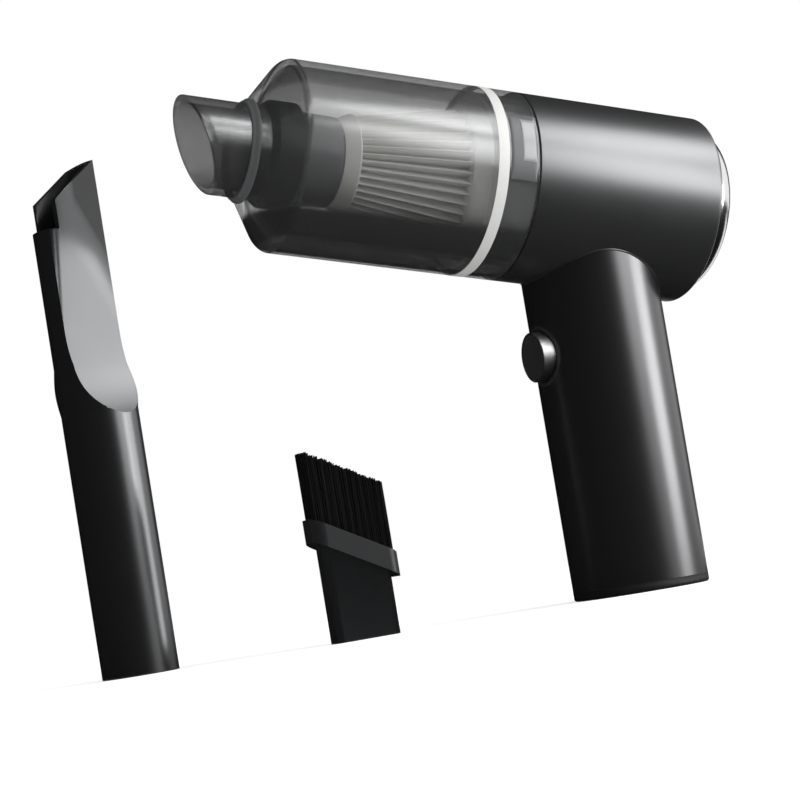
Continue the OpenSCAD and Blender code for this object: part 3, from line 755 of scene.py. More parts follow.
@dataclass
class MainUnit:
    """Barrel shell, handle and rear trim: the body that the user holds."""

    barrel_r: float = 32.0 * MM
    wall: float = 2.2 * MM
    rear: float = -40.2 * MM
    front: float = 27.7 * MM
    rear_fillet: float = 2.0 * MM
    inner_fillet: float = 0.2 * MM
    outer_fillet: float = 0.35 * MM
    lip: float = 0.6 * MM
    lip_len: float = 3.0 * MM
    lip_fillet: float = 0.3 * MM
    trim_depth: float = 7.3 * MM
    trim_mouth: float = 22.0 * MM
    trim_wall: float = 2.0 * MM
    trim_power: float = 1.33
    trim_gap: float = 0.3 * MM
    trim_curl: float = 0.4 * MM
    trim_root: float = 2.5 * MM
    edge_steps: int = 8
    dome_steps: int = 24
    handle_r: float = 23.1 * MM
    bead: float = 0.35 * MM
    bead_steps: int = 240
    bead_sides: int = 12

    def shell(self, looks: Wardrobe) -> None:
        """Turns the barrel's shell: straight tube, rounded rear edge, lip inside.

        Args:
            looks: finishes that dress the pieces.
        """
        inner = self.barrel_r - self.wall
        lip = inner - self.lip
        outline = filleted(
            [
                (inner, self.front, self.inner_fillet),
                (self.barrel_r, self.front, self.outer_fillet),
                (self.barrel_r, self.rear, self.rear_fillet),
                (lip, self.rear, self.lip_fillet),
                (lip, self.rear + self.lip_len, 0),
                (inner, self.rear + self.lip_len, 0),
            ],
            steps=self.edge_steps,
        )
        piece = turned("barrel_skin", outline, BARREL, WIDE_STEPS)
        looks.finish_piece(piece, Slot.SHELL, "main_unit", "barrel_shell")

    def trim(self, looks: Wardrobe) -> None:
        """Turns the domed bright ring behind the shell.

        Its section goes from the lip to the mouth along cos(a)^k and sin(a)^k, where a power k over 1 gives a
        dome that is a little nearer to a cone than an ellipse is.

        Args:
            looks: finishes that dress the pieces.
        """
        lip = self.barrel_r - self.wall - self.lip
        a = np.linspace(0, np.pi / 2, self.dome_steps)
        width = lip - self.trim_mouth - self.trim_wall / 2
        inward = np.maximum(np.cos(a), 0.0) ** self.trim_power
        rearward = np.sin(a) ** self.trim_power
        dome_r = lip - self.trim_gap - width * (1 - inward)
        dome_u = self.rear - self.trim_gap - (self.trim_depth - self.trim_gap) * rearward
        dome = np.stack([dome_r, dome_u], 1)
        tail = np.array(
            [
                (self.trim_mouth, self.rear - self.trim_depth + self.trim_curl),
                (self.trim_mouth, self.rear - self.trim_depth + 2 * self.trim_wall),
                (lip - self.trim_wall, self.rear - self.trim_wall),
                (lip - self.trim_wall, self.rear + self.trim_root),
                (lip, self.rear + self.trim_root),
                (lip, self.rear),
            ]
        )
        piece = turned("rear_trim", np.concatenate([dome, tail]), BARREL, WIDE_STEPS)
        looks.finish_piece(piece, Slot.BRIGHT, "main_unit", "rear_trim_ring")

    def joint_bead(self, looks: Wardrobe) -> None:
        """Runs a thin bead along the joint of handle and barrel.

        At the angle t the joint lies at (R cos t, R sin t) on the handle, at the height where the distance
        from the barrel's axis is the barrel's radius. The bead's section is a circle in the plane of the
        handle's outward normal and the vertical.

        Args:
            looks: finishes that dress the pieces.
        """
        t, a = np.meshgrid(
            np.linspace(0, 2 * np.pi, self.bead_steps, endpoint=False),
            np.linspace(0, 2 * np.pi, self.bead_sides, endpoint=False),
            indexing="ij",
        )
        x, y = self.handle_r * np.cos(t), self.handle_r * np.sin(t)
        drop = np.sqrt(self.barrel_r**2 - y**2) + x * math.sin(TILT)
        z = AXIS_HEIGHT - drop / math.cos(TILT)
        out = self.handle_r + self.bead * np.cos(a)
        points = np.stack([out * np.cos(t), out * np.sin(t), z + self.bead * np.sin(a)], -1)
        faces = grid_faces(self.bead_steps, self.bead_sides, True, True)
        piece = mesh_object("joint_bead", points.reshape(-1, 3), faces)
        looks.finish_piece(piece, Slot.SHELL, "main_unit")

    def foot(self, looks: Wardrobe) -> None:
        """Gives the foot its plain black finish, smoothed from its node.

        Args:
            looks: finishes that dress the pieces.
        """
        foot = smooth_copy("handle_foot", "foot_cap")
        looks.finish_piece(foot, Slot.FOOT, "main_unit", "handle_foot")

    def build(self, looks: Wardrobe) -> None:
        """Builds the main unit's visible pieces.

        Args:
            looks: finishes that dress the pieces.
        """
        self.shell(looks)
        self.trim(looks)
        self.joint_bead(looks)
        self.foot(looks)
        for node, name, slot in (
            ("neck_collar", "neck", Slot.PAD),
            ("exhaust_grille", "grille", Slot.DARK),
            ("button_bezel", "bezel", Slot.DARK),
            ("charge_socket", "socket", Slot.STEEL),
            ("foot_screws", "screws", Slot.STEEL),
        ):
            looks.finish_piece(smooth_copy(node, name), slot, "main_unit", node)
        skin = smooth_copy("handle_shell", "handle_skin")
        round_normals(skin.data, UPRIGHT)
        looks.finish_piece(skin, Slot.HANDLE, "main_unit", "handle_shell")
        for node, slot in (
            ("exhaust_foam", Slot.FOAM),
            ("button_spring", Slot.STEEL),
            ("motor_can", Slot.STEEL),
            ("motor_mount", Slot.DARK),
            ("motor_gasket", Slot.RUBBER),
            ("fan_housing", Slot.DARK),
            ("cell_left", Slot.CELL),
            ("cell_right", Slot.CELL),
            ("battery_holder", Slot.WHITE),
            ("control_board", Slot.BOARD),
            ("tact_switch", Slot.STEEL),
            ("motor_shaft", Slot.STEEL),
        ):
            looks.dress_node(node, slot)
        looks.finish_piece(smooth_copy("impeller", "fan_wheel"), Slot.ALLOY, "fan_rotor", "impeller")


@dataclass
class PowerButton:
    """Round dished button with a bright side."""

    radius: float = 8.5 * MM
    face: float = 26.1 * MM
    back: float = 19.7 * MM
    side: float = 0.7 * MM
    dish_share: float = 0.86
    dish_low: float = 0.35 * MM
    dish_rise: float = 0.3 * MM
    rim_share: float = 0.93
    rim_fillet: float = 0.5 * MM
    rim_drop: float = 0.1 * MM
    rim_corner: float = 0.25 * MM
    stem: float = 2.2 * MM
    stem_end: float = 17.5 * MM
    sleeve_outer: float = 0.35 * MM
    sleeve_inner: float = 0.1 * MM
    dish_steps: int = 14
    segments: int = 96

    def build(self, looks: Wardrobe) -> None:
        """Turns the cap, whose face rises with the square of the radius, and the sleeve round it.

        Args:
            looks: finishes that dress the pieces.
        """
        inner = self.radius - self.side
        r = np.linspace(0, inner * self.dish_share, self.dish_steps)
        dish = np.stack([r, self.face - self.dish_low + self.dish_rise * (r / inner) ** 2], 1)
        rim = filleted(
            [
                (inner * self.rim_share, self.face, self.rim_fillet),
                (inner, self.face - self.rim_drop, self.rim_corner),
                (inner, self.back, 0),
            ],
            closed=False,
        )
        tail = np.array([(self.stem, self.back), (self.stem, self.stem_end), (0, self.stem_end)])
        outline = np.concatenate([dish, rim, tail])
        cap = turned("button_cap", outline, BUTTON_AXIS, self.segments)
        looks.finish_piece(cap, Slot.DARK, "button", "power_button")
        sleeve = filleted(
            [
                (inner, self.back, 0),
                (self.radius, self.back, 0),
                (self.radius, self.face, self.sleeve_outer),
                (inner, self.face, self.sleeve_inner),
            ]
        )
        side = turned("button_sleeve", sleeve, BUTTON_AXIS, self.segments)
        looks.finish_piece(side, Slot.SLEEVE, "button", "button_trim")


@dataclass
class FilterUnit:
    """White ring, pleated paper, cage and seal."""

    ring_r: float = 29.7 * MM
    ring_in: float = 24.7 * MM
    ring_back: float = 39.3 * MM
    ring_front: float = 42.6 * MM
    ring_fillet: float = 0.6 * MM
    ring_in_fillet: float = 0.3 * MM
    ring_steps: int = 200
    pleat_back: float = 48.0 * MM
    pleat_front: float = 84.6 * MM
    pleat_r_back: float = 23.5 * MM
    pleat_r_front: float = 16.4 * MM
    pleat_depth: float = 5.5 * MM
    paper: float = 1.28 * MM
    fold_softness: float = 0.97
    pleats: int = 40
    steps_per_pleat: int = 10
    paper_rows: int = 9
    disc_back: float = 81.5 * MM
    disc_r: float = 18.0 * MM
    disc_rim_share: float = 0.8
    disc_slack: float = 1.0 * MM
    disc_gap: float = 0.1 * MM
    cap_in: float = 14.5 * MM
    cap_r: float = 16.9 * MM
    cap_r_fillet: float = 0.2 * MM
    cap_rim: float = 0.5 * MM
    cap_fillet: float = 0.3 * MM
    cap_tip_r: float = 14.6 * MM
    cap_lip: float = 1.2 * MM
    cap_step: float = 88.3 * MM
    cap_front: float = 89.7 * MM

    def paper_star(self, looks: Wardrobe) -> None:
        """Folds the paper round the cage.

        The radius goes from the inner to the outer fold along a softened triangle wave in the angle, and
        both shrink in a straight line from the rear to the front. The inside is the same wave, one sheet
        further in.

        Args:
            looks: finishes that dress the pieces.
        """
        steps = self.pleats * self.steps_per_pleat
        t = np.linspace(0, 2 * np.pi, steps, endpoint=False)
        fold = np.sin(t * self.pleats) * self.fold_softness
        wave = np.arcsin(fold) / np.arcsin(self.fold_softness)
        s = np.linspace(0, 1, self.paper_rows)[:, None]
        top = self.pleat_r_back + (self.pleat_r_front - self.pleat_r_back) * s
        depth = self.pleat_depth * top / self.pleat_r_back
        outer = top - depth / 2 + depth / 2 * wave
        inner = outer - self.paper
        radius = np.concatenate([outer, inner[::-1]])
        u = self.pleat_back + (self.pleat_front - self.pleat_back) * s
        along = np.concatenate([u, u[::-1]])
        along = np.broadcast_to(along, radius.shape)
        points = BARREL.place(radius * np.cos(t), radius * np.sin(t), along)
        faces = grid_faces(len(radius), steps, True, True)
        piece = mesh_object("pleats", points.reshape(-1, 3), faces)
        looks.finish_piece(piece, Slot.PAPER, "filter_unit", "filter_pleats")

    def cage(self, looks: Wardrobe) -> None:
        """Smooths the cage, and turns the tapered cap that closes the pleats in front.

        Each vertex of the cage's front disc moves along the axis to the end of the pleats, and the disc's rim
        shrinks by one factor, so that the disc fits inside the cap.

        Args:
            looks: finishes that dress the pieces.
        """
        thing = smooth_copy("filter_cage", "cage")
        away = vertex_points(thing.data) - BARREL.origin
        u = away @ BARREL.along
        out = away - u[:, None] * BARREL.along
        disc = u > self.disc_back - self.disc_slack
        rim = disc & (np.linalg.norm(out, axis=1) > self.disc_rim_share * self.disc_r)
        out[rim] *= (self.cap_in - self.disc_gap) / self.disc_r
        u[disc] += self.pleat_front - self.disc_back
        points = BARREL.origin + out + u[:, None] * BARREL.along
        thing.data.vertices.foreach_set("co", points.ravel())
        thing.data.update()
        looks.finish_piece(thing, Slot.WHITE, "filter_unit", "filter_cage")
        outline = filleted(
            [
                (self.cap_in, self.pleat_front, 0),
                (self.cap_r, self.pleat_front, self.cap_r_fillet),
                (self.cap_r, self.pleat_front + self.cap_rim, self.cap_fillet),
                (self.cap_tip_r, self.cap_front, self.cap_fillet),
                (self.cap_tip_r - self.cap_lip, self.cap_front, 0),
                (self.cap_tip_r - self.cap_lip, self.cap_step, 0),
                (self.cap_in, self.cap_step, 0),
            ]
        )
        cap = turned("filter_cap", outline, BARREL)
        looks.finish_piece(cap, Slot.WHITE, "filter_unit", "filter_cage")

    def build(self, looks: Wardrobe) -> None:
        """Builds the ring, the paper, the cage and the seal.

        Args:
            looks: finishes that dress the pieces.
        """
        outline = filleted(
            [
                (self.ring_in, self.ring_back, self.ring_in_fillet),
                (self.ring_r, self.ring_back, self.ring_fillet),
                (self.ring_r, self.ring_front, self.ring_fillet),
                (self.ring_in, self.ring_front, self.ring_in_fillet),
            ]
        )
        ring = turned("white_ring", outline, BARREL, self.ring_steps)
        looks.finish_piece(ring, Slot.WHITE, "filter_unit", "filter_ring")
        self.paper_star(looks)
        self.cage(looks)
        looks.dress_node("filter_seal", Slot.RUBBER)


@dataclass(frozen=True)
class Pad:
    """A raised pad on the cup: angles above the horizontal in degrees, ends and height in millimetres."""

    name: str
    slot: Slot
    first: float
    last: float
    back: float
    front: float
    proud: float


PADS = (
    Pad("thumb_pad", Slot.DUCT, first=-9.0, last=34.0, back=29.0, front=38.4, proud=0.25),
    Pad("thumb_pad_middle", Slot.PAD, first=1.5, last=31.0, back=29.2, front=34.6, proud=0.45),
)


@dataclass
class DustCup:
    """Clear cup with its cone, the nozzle pipe, its collar and the inlet duct."""

    radius: float = 32.0 * MM
    wall: float = 2.0 * MM
    rear: float = 28.0 * MM
    front: float = 107.7 * MM
    cone: float = 11.8 * MM
    edge: float = 2.4 * MM
    pipe_r: float = 15.5 * MM
    bore_r: float = 13.2 * MM
    collar_r: float = 17.2 * MM
    mouth: float = 136.7 * MM
    slant: float = math.radians(22.8)
    shoulder_share: float = 0.55
    shoulder_fillet: float = 1.6
    shoulder_inset: float = 0.9 * MM
    rim_in_fillet: float = 0.3 * MM
    rim_fillet: float = 0.4 * MM
    edge_steps: int = 10
    root: float = 1.4 * MM
    lip_share: float = 0.5
    lip_start: float = 0.9
    lip_steps: int = 9
    pipe_steps: int = 200
    sleeve_r: float = 17.8 * MM
    sleeve_back: float = 104.3 * MM
    sleeve_len: float = 10.8 * MM
    sleeve_tip: float = 0.6 * MM
    sleeve_taper: float = 2.0 * MM
    sleeve_fillets: tuple[float, ...] = (0.1 * MM, 0.5 * MM, 0.8 * MM, 0.3 * MM)
    duct_back: float = 89.9 * MM
    duct_taper: float = 0.5 * MM
    duct_gap: float = 0.03 * MM
    duct_overlap: float = 2.0 * MM
    duct_fillets: tuple[float, ...] = (0.5 * MM, 0.6 * MM)
    band_back: float = 39.0 * MM
    band_front: float = 42.8 * MM
    band_proud: float = 0.08 * MM
    band_depth: float = 0.3 * MM
    band_low_fillet: float = 0.02 * MM
    band_high_fillet: float = 0.03 * MM
    pad_depth: float = 0.25 * MM
    pad_sink: float = 0.02 * MM
    pad_steps: int = 41
    pad_power: int = 12

    def cup(self, looks: Wardrobe) -> None:
        """Turns the cup: straight wall, rounded edge and cone, with an even wall.

        Args:
            looks: finishes that dress the pieces.
        """
        tip = self.front + self.cone
        shoulder = self.front + self.edge * self.shoulder_share
        outline = filleted(
            [
                (self.radius - self.wall, self.rear, self.rim_in_fillet),
                (self.radius, self.rear, self.rim_fillet),
                (self.radius, shoulder, self.edge * self.shoulder_fillet),
                (self.collar_r, tip, self.rim_fillet),
                (self.pipe_r, tip, 0),
                (self.pipe_r, tip - self.wall - self.root, 0),
                (self.radius - self.wall, shoulder - self.shoulder_inset, self.edge),
            ],
            steps=self.edge_steps,
        )
        piece = turned("clear_cup", outline, BARREL, WIDE_STEPS)
        looks.finish_piece(piece, Slot.CLEAR, "dust_cup", "cup_shell")

    def pipe(self, looks: Wardrobe) -> None:
        """Makes the nozzle pipe: a round tube whose end lies in a slanted plane, with a rounded lip.

        A point of the wall at height x above the axis ends at mouth + x tan(slant).

        Args:
            looks: finishes that dress the pieces.
        """
        back = self.front - self.root
        t = np.linspace(0, 2 * np.pi, self.pipe_steps, endpoint=False)
        lip = np.linspace(-np.pi / 2, np.pi / 2, self.lip_steps)
        mid, half = (self.pipe_r + self.bore_r) / 2, (self.pipe_r - self.bore_r) / 2
        bore, wall = np.full(2, self.bore_r), np.full(2, self.pipe_r)
        radius = np.concatenate([bore, mid + half * np.sin(lip), wall])
        reach = np.concatenate([[0.0, self.lip_start], np.ones(len(lip)), [self.lip_start, 0.0]])
        proud = np.pad((np.cos(lip) - 1) * half * self.lip_share, 2)
        x = radius[:, None] * np.cos(t)
        y = radius[:, None] * np.sin(t)
        end = self.mouth + x * math.tan(self.slant)
        u = back + (end - back) * reach[:, None] + proud[:, None]
        points = BARREL.place(x, y, u).reshape(-1, 3)
        piece = mesh_object("pipe", points, grid_faces(len(radius), len(t), True, True))
        looks.finish_piece(piece, Slot.PIPE, "dust_cup", "nozzle_pipe")

    def duct(self, looks: Wardrobe) -> None:
        """Turns the dark sleeve round the pipe's root and the grey duct behind it.

        Args:
            looks: finishes that dress the pieces.
        """
        inner, foot, shoulder, tip = self.sleeve_fillets
        sleeve_front = self.sleeve_back + self.sleeve_len
        sleeve = filleted(
            [
                (self.pipe_r, self.sleeve_back, inner),
                (self.sleeve_r, self.sleeve_back, foot),
                (self.sleeve_r, sleeve_front - self.sleeve_taper, shoulder),
                (self.pipe_r + self.sleeve_tip, sleeve_front, tip),
                (self.pipe_r, sleeve_front, 0),
            ]
        )
        cuff = turned("duct_sleeve", sleeve, BARREL)
        looks.finish_piece(cuff, Slot.DARK, "dust_cup", "inlet_duct")
        inner, outer = self.duct_fillets
        duct_r = self.pipe_r - self.duct_gap
        duct_front = self.sleeve_back + self.duct_overlap
        tube = filleted(
            [
                (self.bore_r, self.duct_back, inner),
                (self.pipe_r - self.duct_taper, self.duct_back, outer),
                (duct_r, self.sleeve_back, 0),
                (duct_r, duct_front, 0),
                (self.bore_r, duct_front, 0),
            ]
        )
        duct = turned("duct_tube", tube, BARREL)
        looks.finish_piece(duct, Slot.DUCT, "dust_cup", "inlet_duct")

    def ring_band(self, looks: Wardrobe) -> None:
        """Turns the thin white band that lies flush round the cup over the filter's white ring.

        Args:
            looks: finishes that dress the pieces.
        """
        low, high = self.radius - self.band_depth, self.radius + self.band_proud
        band = filleted(
            [
                (low, self.band_back, self.band_low_fillet),
                (high, self.band_back, self.band_high_fillet),
                (high, self.band_front, self.band_high_fillet),
                (low, self.band_front, self.band_low_fillet),
            ]
        )
        looks.finish_piece(turned("ring_band", band, BARREL, WIDE_STEPS), Slot.WHITE, "dust_cup")

    def thumb_pad(self, pad: Pad, looks: Wardrobe) -> None:
        """Wraps a thumb pad round the cup's rear rim.

        The pad is a grid in angle and length. Its height over the cup is 1 - d^12 of its full height, where
        d is the larger of the two distances from its middle, so that it is flat on top and falls at its
        edges.

        Args:
            pad: place and height of the pad.
            looks: finishes that dress the pieces.
        """
        t = np.linspace(-1, 1, self.pad_steps)
        a, b = np.meshgrid(t, t, indexing="ij")
        turn = np.radians((pad.first + pad.last) / 2 + a * (pad.last - pad.first) / 2)
        u = ((pad.back + pad.front) / 2 + b * (pad.front - pad.back) / 2) * MM
        off = np.maximum(np.abs(a), np.abs(b))
        rise = pad.proud * MM * np.clip(1 - off**self.pad_power, 0, 1)
        top_r = self.radius + rise - self.pad_sink
        low_r = np.full_like(top_r, self.radius - self.pad_depth)
        sheets = [BARREL.place(r * np.sin(turn), -r * np.cos(turn), u).reshape(-1, 3) for r in (top_r, low_r)]
        count = len(t)
        under = count * count
        top = grid_faces(count, count, False, False)
        low = top[:, ::-1] + under
        i = np.arange(count)
        rims = [i, (count - 1) * count + i, i * count, i * count + count - 1]
        walls = [np.stack([m[:-1], m[1:], m[1:] + under, m[:-1] + under], 1) for m in rims]
        piece = mesh_object(pad.name, np.concatenate(sheets), np.concatenate([top, low, *walls]))
        looks.finish_piece(piece, pad.slot, "dust_cup")

    def build(self, looks: Wardrobe) -> None:
        """Builds the cup's pieces.

        Args:
            looks: finishes that dress the pieces.
        """
        self.cup(looks)
        self.pipe(looks)
        collar = smooth_copy("nozzle_collar", "pipe_collar")
        looks.finish_piece(collar, Slot.DUCT, "dust_cup", "nozzle_collar")
        self.duct(looks)
        self.ring_band(looks)
        for pad in PADS:
            self.thumb_pad(pad, looks)


@dataclass
class Tools:
    """The crevice tool and the brush tool, standing on the floor."""

    brush_x: float = -98.0 * MM
    brush_y: float = 10.0 * MM
    slant: float = math.radians(28)
    foot_z: float = 33.9 * MM
    width: float = 26.0 * MM
    depth: float = 10.6 * MM
    length: float = 23.0 * MM
    columns: int = 56
    rows: int = 18
    tufts: int = 10
    seed: int = 7
    strand_r: float = 0.21 * MM
    strand_taper: float = 0.2
    strand_sides: int = 5
    strand_rings: int = 5
    edge_room: float = 1.0 * MM
    gather: float = 0.012
    scatter_x: float = 0.0015
    scatter_y: float = 0.006
    wave: float = 0.4 * MM
    waves: float = 3.1
    stray: float = 0.1 * MM
    side_drift: float = 0.4
    uneven: float = 0.012
    notch_depth: float = 0.05
    notch_power: int = 3
    holder_angle: float = math.radians(18)
    tube_r: float = 13.0 * MM
    tool_wall: float = 1.8 * MM
    face_front: float = 2.6 * MM
    face_back: float = 8.5 * MM
    scoop: float = 29.0 * MM
    scoop_top: float = 116.0 * MM
    scoop_closest: float = 0.9

    def bristles(self, looks: Wardrobe) -> None:
        """Makes the strands: thin five-sided rods in tufts, a little uneven and leaning.

        Each strand runs from the slanted collar to a slanted top. Its foot lies on a grid drawn into tufts,
        its tip drifts by a wave and a small random step that grow with the square of the height, and its
        radius shrinks with the same square.

        Args:
            looks: finishes that dress the pieces.
        """
        rng = np.random.default_rng(self.seed)
        i, j = np.meshgrid(np.arange(self.columns), np.arange(self.rows), indexing="ij")
        x = (i.ravel() + 0.5) / self.columns - 0.5
        y = (j.ravel() + 0.5) / self.rows - 0.5
        x = x - self.gather * np.sin(2 * np.pi * x * self.tufts) + rng.normal(0, self.scatter_x, x.size)
        y = y + rng.normal(0, self.scatter_y, y.size)
        x, y = x * (self.width - self.edge_room), y * (self.depth - self.edge_room)
        foot = self.foot_z - x * math.tan(self.slant)
        phase = 2 * np.pi * x / self.width
        drift = self.wave * np.sin(phase * self.waves) + rng.normal(0, self.stray, x.size)
        notch = np.maximum(np.cos(phase * self.tufts), 0.0) ** self.notch_power
        lift = self.length * (1 - self.uneven * rng.random(x.size) - self.notch_depth * notch)
        s = np.linspace(0, 1, self.strand_rings)[None, :, None]
        radius = self.strand_r * (1 - self.strand_taper * s**2)
        a = np.arange(self.strand_sides) * 2 * np.pi / self.strand_sides
        x, y, foot, drift, lift = (v[:, None, None] for v in (x, y, foot, drift, lift))
        px = x + drift * s**2 + radius * np.cos(a)
        py = y + self.side_drift * drift * s**2 + radius * np.sin(a)
        pz = foot + lift * s + 0 * a
        points = np.stack([px + self.brush_x, py + self.brush_y, pz], -1).reshape(-1, 3)
        side = grid_faces(self.strand_rings, self.strand_sides, False, True)
        per_strand = self.strand_rings * self.strand_sides
        block = np.arange(len(x))[:, None] * per_strand
        ring = np.arange(self.strand_sides)
        quads = (block[:, None] + side).reshape(-1, 4).tolist()
        ends = (block + ring[::-1]).tolist() + (block + per_strand - self.strand_sides + ring).tolist()
        piece = mesh_object("strands", points, quads + ends)
        looks.finish_piece(piece, Slot.BRISTLE, "brush", "brush_bristles")

    def crevice(self, looks: Wardrobe) -> None:
        """Smooths the crevice tool, with exact normals on its tube and on the two scoops.

        A scoop is a cylinder that touches the flat face at its top and meets the tube's radius one scoop's
        length lower: its radius is (length^2 + rise^2) / (2 rise), with the rise from the face to the tube.

        Args:
            looks: finishes that dress the pieces.
        """
        thing = smooth_copy("crevice_tool", "crevice")
        round_normals(thing.data, CREVICE_AXIS)
        for face, way in ((self.face_front, 1.0), (-self.face_back, -1.0)):
            rise = self.tube_r - abs(face)
            radius = (self.scoop**2 + rise**2) / (2 * rise)
            centre = CREVICE_AXIS.place(
                np.array(face + way * radius), np.array(0.0), np.array(self.scoop_top)
            )
            roll = Axis(centre, CREVICE_AXIS.along, CREVICE_AXIS.across, CREVICE_AXIS.side)
            for depth in (0.0, self.tool_wall):
                round_normals(thing.data, roll, radius + depth, self.scoop_closest)
        looks.finish_piece(thing, Slot.TOOL, "crevice", "crevice_tool")

    def build(self, looks: Wardrobe) -> None:
        """Builds the two tools.

        Args:
            looks: finishes that dress the pieces.
        """
        self.crevice(looks)
        holder = smooth_copy("brush_holder", "holder", self.holder_angle)
        looks.finish_piece(holder, Slot.HOLDER, "brush", "brush_holder")
        self.bristles(looks)


# Studio


def facing(at: Point, aim: Point) -> tuple[np.ndarray, np.ndarray, np.ndarray]:
    """Gives the axes of a thing that stands at one point and faces another.

    Away is the unit vector from the aim to the place, right is level, and up is away times right.

    Args:
        at: place in metres.
        aim: point that it faces.

    Returns:
        The unit vectors right, up and away.
    """
    away = np.array(at, float) - np.array(aim, float)
    away /= np.linalg.norm(away)
    level = np.array([0, 1.0, 0]) if abs(away[2]) > STEEP else np.array([0, 0, 1.0])
    right = np.cross(level, away)
    right /= np.linalg.norm(right)
    return right, np.cross(away, right), away


def placed(right: np.ndarray, up: np.ndarray, away: np.ndarray, at: Point) -> Matrix:
    """Makes the matrix that puts a thing at a point along three axes.

    Args:
        right: unit vector to its right.
        up: unit vector to its top.
        away: unit vector to its back.
        at: place in metres.

    Returns:
        The matrix.
    """
    rows = [[float(right[i]), float(up[i]), float(away[i]), at[i]] for i in range(3)]
    return Matrix(rows + [[0, 0, 0, 1]])


@dataclass(frozen=True)
class Lamp:
    """A soft rectangular lamp, in metres and watts.

    With gloss_only it shows in gloss alone, which suits a small lamp that stands close.
    """

    name: str
    at: Point
    aim: Point
    size: tuple[float, float]
    power: float
    gloss_only: bool = False

    def hang(self) -> None:
        """Adds the lamp to the scene."""
        data = bpy.data.lights.new(self.name, "AREA")
        data.shape = "RECTANGLE"
        data.size, data.size_y = self.size
        data.energy = self.power
        thing = linked(self.name, data)
        thing.matrix_world = placed(*facing(self.at, self.aim), self.at)
        thing.visible_camera = not self.gloss_only
        thing.visible_diffuse = not self.gloss_only


@dataclass(frozen=True)
class Card:
    """A card that only gloss reflects: black for a dark zone, or bright for a highlight.

    Its size is in metres, and its glow is the strength of its light, zero for a black card.
    """

    name: str
    centre: Point
    aim: Point
    size: tuple[float, float]
    glow: float = 0.0

    def hang(self) -> None:
        """Adds the card to the scene."""
        right, up, _ = facing(self.centre, self.aim)
        w, h = self.size[0] / 2, self.size[1] / 2
        corners = [
            np.array(self.centre) + sx * w * right + sy * h * up
            for sx, sy in ((-1, -1), (1, -1), (1, 1), (-1, 1))
        ]
        mesh = bpy.data.meshes.new(self.name)
        mesh.from_pydata([c.tolist() for c in corners], [], [(0, 1, 2, 3)])
        thing = linked(self.name, mesh)
        material = bpy.data.materials.new(self.name)
        material.use_nodes = True
        shader = material.node_tree.nodes["Principled BSDF"]
        shader.inputs["Base Color"].default_value = CARD_BLACK
        shader.inputs["Roughness"].default_value = 1.0
        shader.inputs["Specular IOR Level"].default_value = 0.0
        shader.inputs["Emission Color"].default_value = WHITE
        shader.inputs["Emission Strength"].default_value = self.glow
        mesh.materials.append(material)
        thing.visible_camera = False
        thing.visible_diffuse = False
        thing.visible_shadow = False
        thing.visible_transmission = False


MIDDLE = (-0.04, 0.0, 0.12)
HANDLE_MIDDLE = (0.0, 0.0, 0.12)
LAMPS = (
    Lamp("key_box", (0.64, -0.94, 0.50), MIDDLE, (0.46, 0.60), 4.4),
    Lamp("top_box", (0.67, -0.41, 0.88), MIDDLE, (0.62, 0.36), 3.8),
    Lamp("handle_box", (0.945, -0.510, 0.15), HANDLE_MIDDLE, (0.46, 0.28), 3.4),
    Lamp("tool_box", (-0.1142, 0.0404, 0.127), (-0.162, 0.055, 0.127), (0.044, 0.056), 0.027, True),
    Lamp("tool_strip", (-0.1257, 0.0365, 0.058), (-0.162, 0.055, 0.058), (0.010, 0.100), 0.014, True),
)
CARD_BLACK = (0.01, 0.01, 0.01, 1)
WHITE = (1, 1, 1, 1)


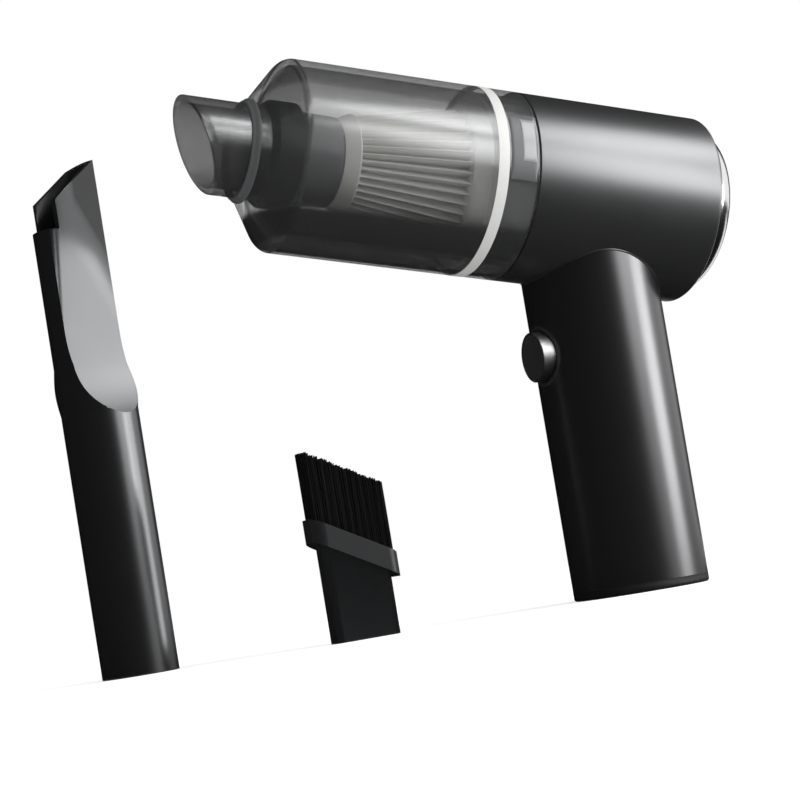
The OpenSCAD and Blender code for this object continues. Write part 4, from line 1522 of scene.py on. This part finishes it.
@dataclass
class Studio:
    """Camera, floor, lamps, cards and background."""

    eye: Point = (-0.4198, -0.8041, 0.0204)
    azimuth: float = math.radians(-23.12)
    elevation: float = math.radians(-3.61)
    roll: float = math.radians(-9.38)
    lens: float = 119.68
    sensor: float = 36.0
    clip: float = 0.01
    seen_white: float = 1.0
    world_light: float = 0.45
    floor_half: float = 3.0
    floor_colour: Point = (0.9, 0.9, 0.9)
    floor_glow: float = 0.6
    side_turns: tuple[float, ...] = (50, 88, 126, 164, 202, 240, 278)
    side_reach: float = 1.5
    side_height: float = 0.55
    side_size: tuple[float, float] = (1.15, 1.7)

    def camera(self) -> None:
        """Sets the camera at the photograph's viewing angle, with its roll."""
        sa, ca = math.sin(self.azimuth), math.cos(self.azimuth)
        se, ce = math.sin(self.elevation), math.cos(self.elevation)
        back = np.array([sa * ce, -ca * ce, se])
        right = np.array([ca, sa, 0.0])
        up = np.cross(back, right)
        cr, sr = math.cos(self.roll), math.sin(self.roll)
        data = bpy.data.cameras.new("camera")
        data.lens = self.lens
        data.sensor_width = self.sensor
        data.clip_start = self.clip
        thing = linked("camera", data)
        thing.matrix_world = placed(cr * right + sr * up, -sr * right + cr * up, back, self.eye)
        bpy.context.scene.camera = thing

    def background(self) -> None:
        """Makes the world white to the camera, to gloss and through clear plastic, and dim as a light."""
        world = bpy.data.worlds.new("studio")
        world.use_nodes = True
        bpy.context.scene.world = world
        tree = world.node_tree
        tree.nodes.clear()
        rays = tree.nodes.new("ShaderNodeLightPath").outputs
        seen = math_node(tree, "ADD", rays["Is Camera Ray"], rays["Is Transmission Ray"], clamp=True)
        seen = math_node(tree, "ADD", seen, rays["Is Glossy Ray"], clamp=True)
        mix = tree.nodes.new("ShaderNodeMixShader")
        tree.links.new(seen, mix.inputs["Fac"])
        for place, strength in ((1, self.world_light), (2, self.seen_white)):
            shade = tree.nodes.new("ShaderNodeBackground")
            shade.inputs["Color"].default_value = WHITE
            shade.inputs["Strength"].default_value = strength
            tree.links.new(shade.outputs[0], mix.inputs[place])
        out = tree.nodes.new("ShaderNodeOutputWorld")
        tree.links.new(mix.outputs[0], out.inputs["Surface"])

    def floor(self) -> None:
        """Lays a pale floor that is white to the camera where no shadow falls."""
        h = self.floor_half
        mesh = bpy.data.meshes.new("floor")
        mesh.from_pydata([(-h, -h, 0), (h, -h, 0), (h, h, 0), (-h, h, 0)], [], [(0, 1, 2, 3)])
        thing = linked("floor", mesh)
        material = bpy.data.materials.new("floor_paper")
        material.use_nodes = True
        tree = material.node_tree
        shader = tree.nodes["Principled BSDF"]
        shader.inputs["Base Color"].default_value = (*self.floor_colour, 1)
        shader.inputs["Roughness"].default_value = 1.0
        shader.inputs["Specular IOR Level"].default_value = 0.0
        rays = tree.nodes.new("ShaderNodeLightPath").outputs
        glow = math_node(tree, "MULTIPLY", rays["Is Camera Ray"], self.floor_glow)
        shader.inputs["Emission Color"].default_value = WHITE
        tree.links.new(glow, shader.inputs["Emission Strength"])
        mesh.materials.append(material)

    def cards(self) -> None:
        """Hangs black cards below, round and above the object, and a bright one for its lower rim."""
        Card("floor_flag", (0.0, 0.0, 0.0004), (0.0, 0.0, 1.0), (3.0, 3.0)).hang()
        for number, turn in enumerate(self.side_turns):
            x = self.side_reach * math.cos(math.radians(turn))
            y = self.side_reach * math.sin(math.radians(turn))
            centre, aim = (x, y, self.side_height), (0, 0, self.side_height)
            Card(f"side_flag_{number}", centre, aim, self.side_size).hang()
        Card("top_flag", (0.0, 0.25, 1.4), (0.0, 0.25, 0.0), (3.0, 2.4)).hang()
        Card("rim_floor", (0.62, 0.50, 0.0008), (0.62, 0.50, 1.0), (0.8, 0.7), 0.9).hang()

    def build(self) -> None:
        """Builds the studio round the object."""
        self.camera()
        self.background()
        self.floor()
        for lamp in LAMPS:
            lamp.hang()
        self.cards()


def main() -> None:
    """Builds the studio and every piece."""
    logging.basicConfig(level=logging.INFO, format="%(name)s: %(message)s")
    scene = bpy.context.scene
    scene.view_settings.view_transform = "Standard"
    Studio().build()
    looks = Wardrobe()
    for part in (MainUnit(), PowerButton(), FilterUnit(), DustCup(), Tools()):
        part.build(looks)


if __name__ == "__main__":
    main()
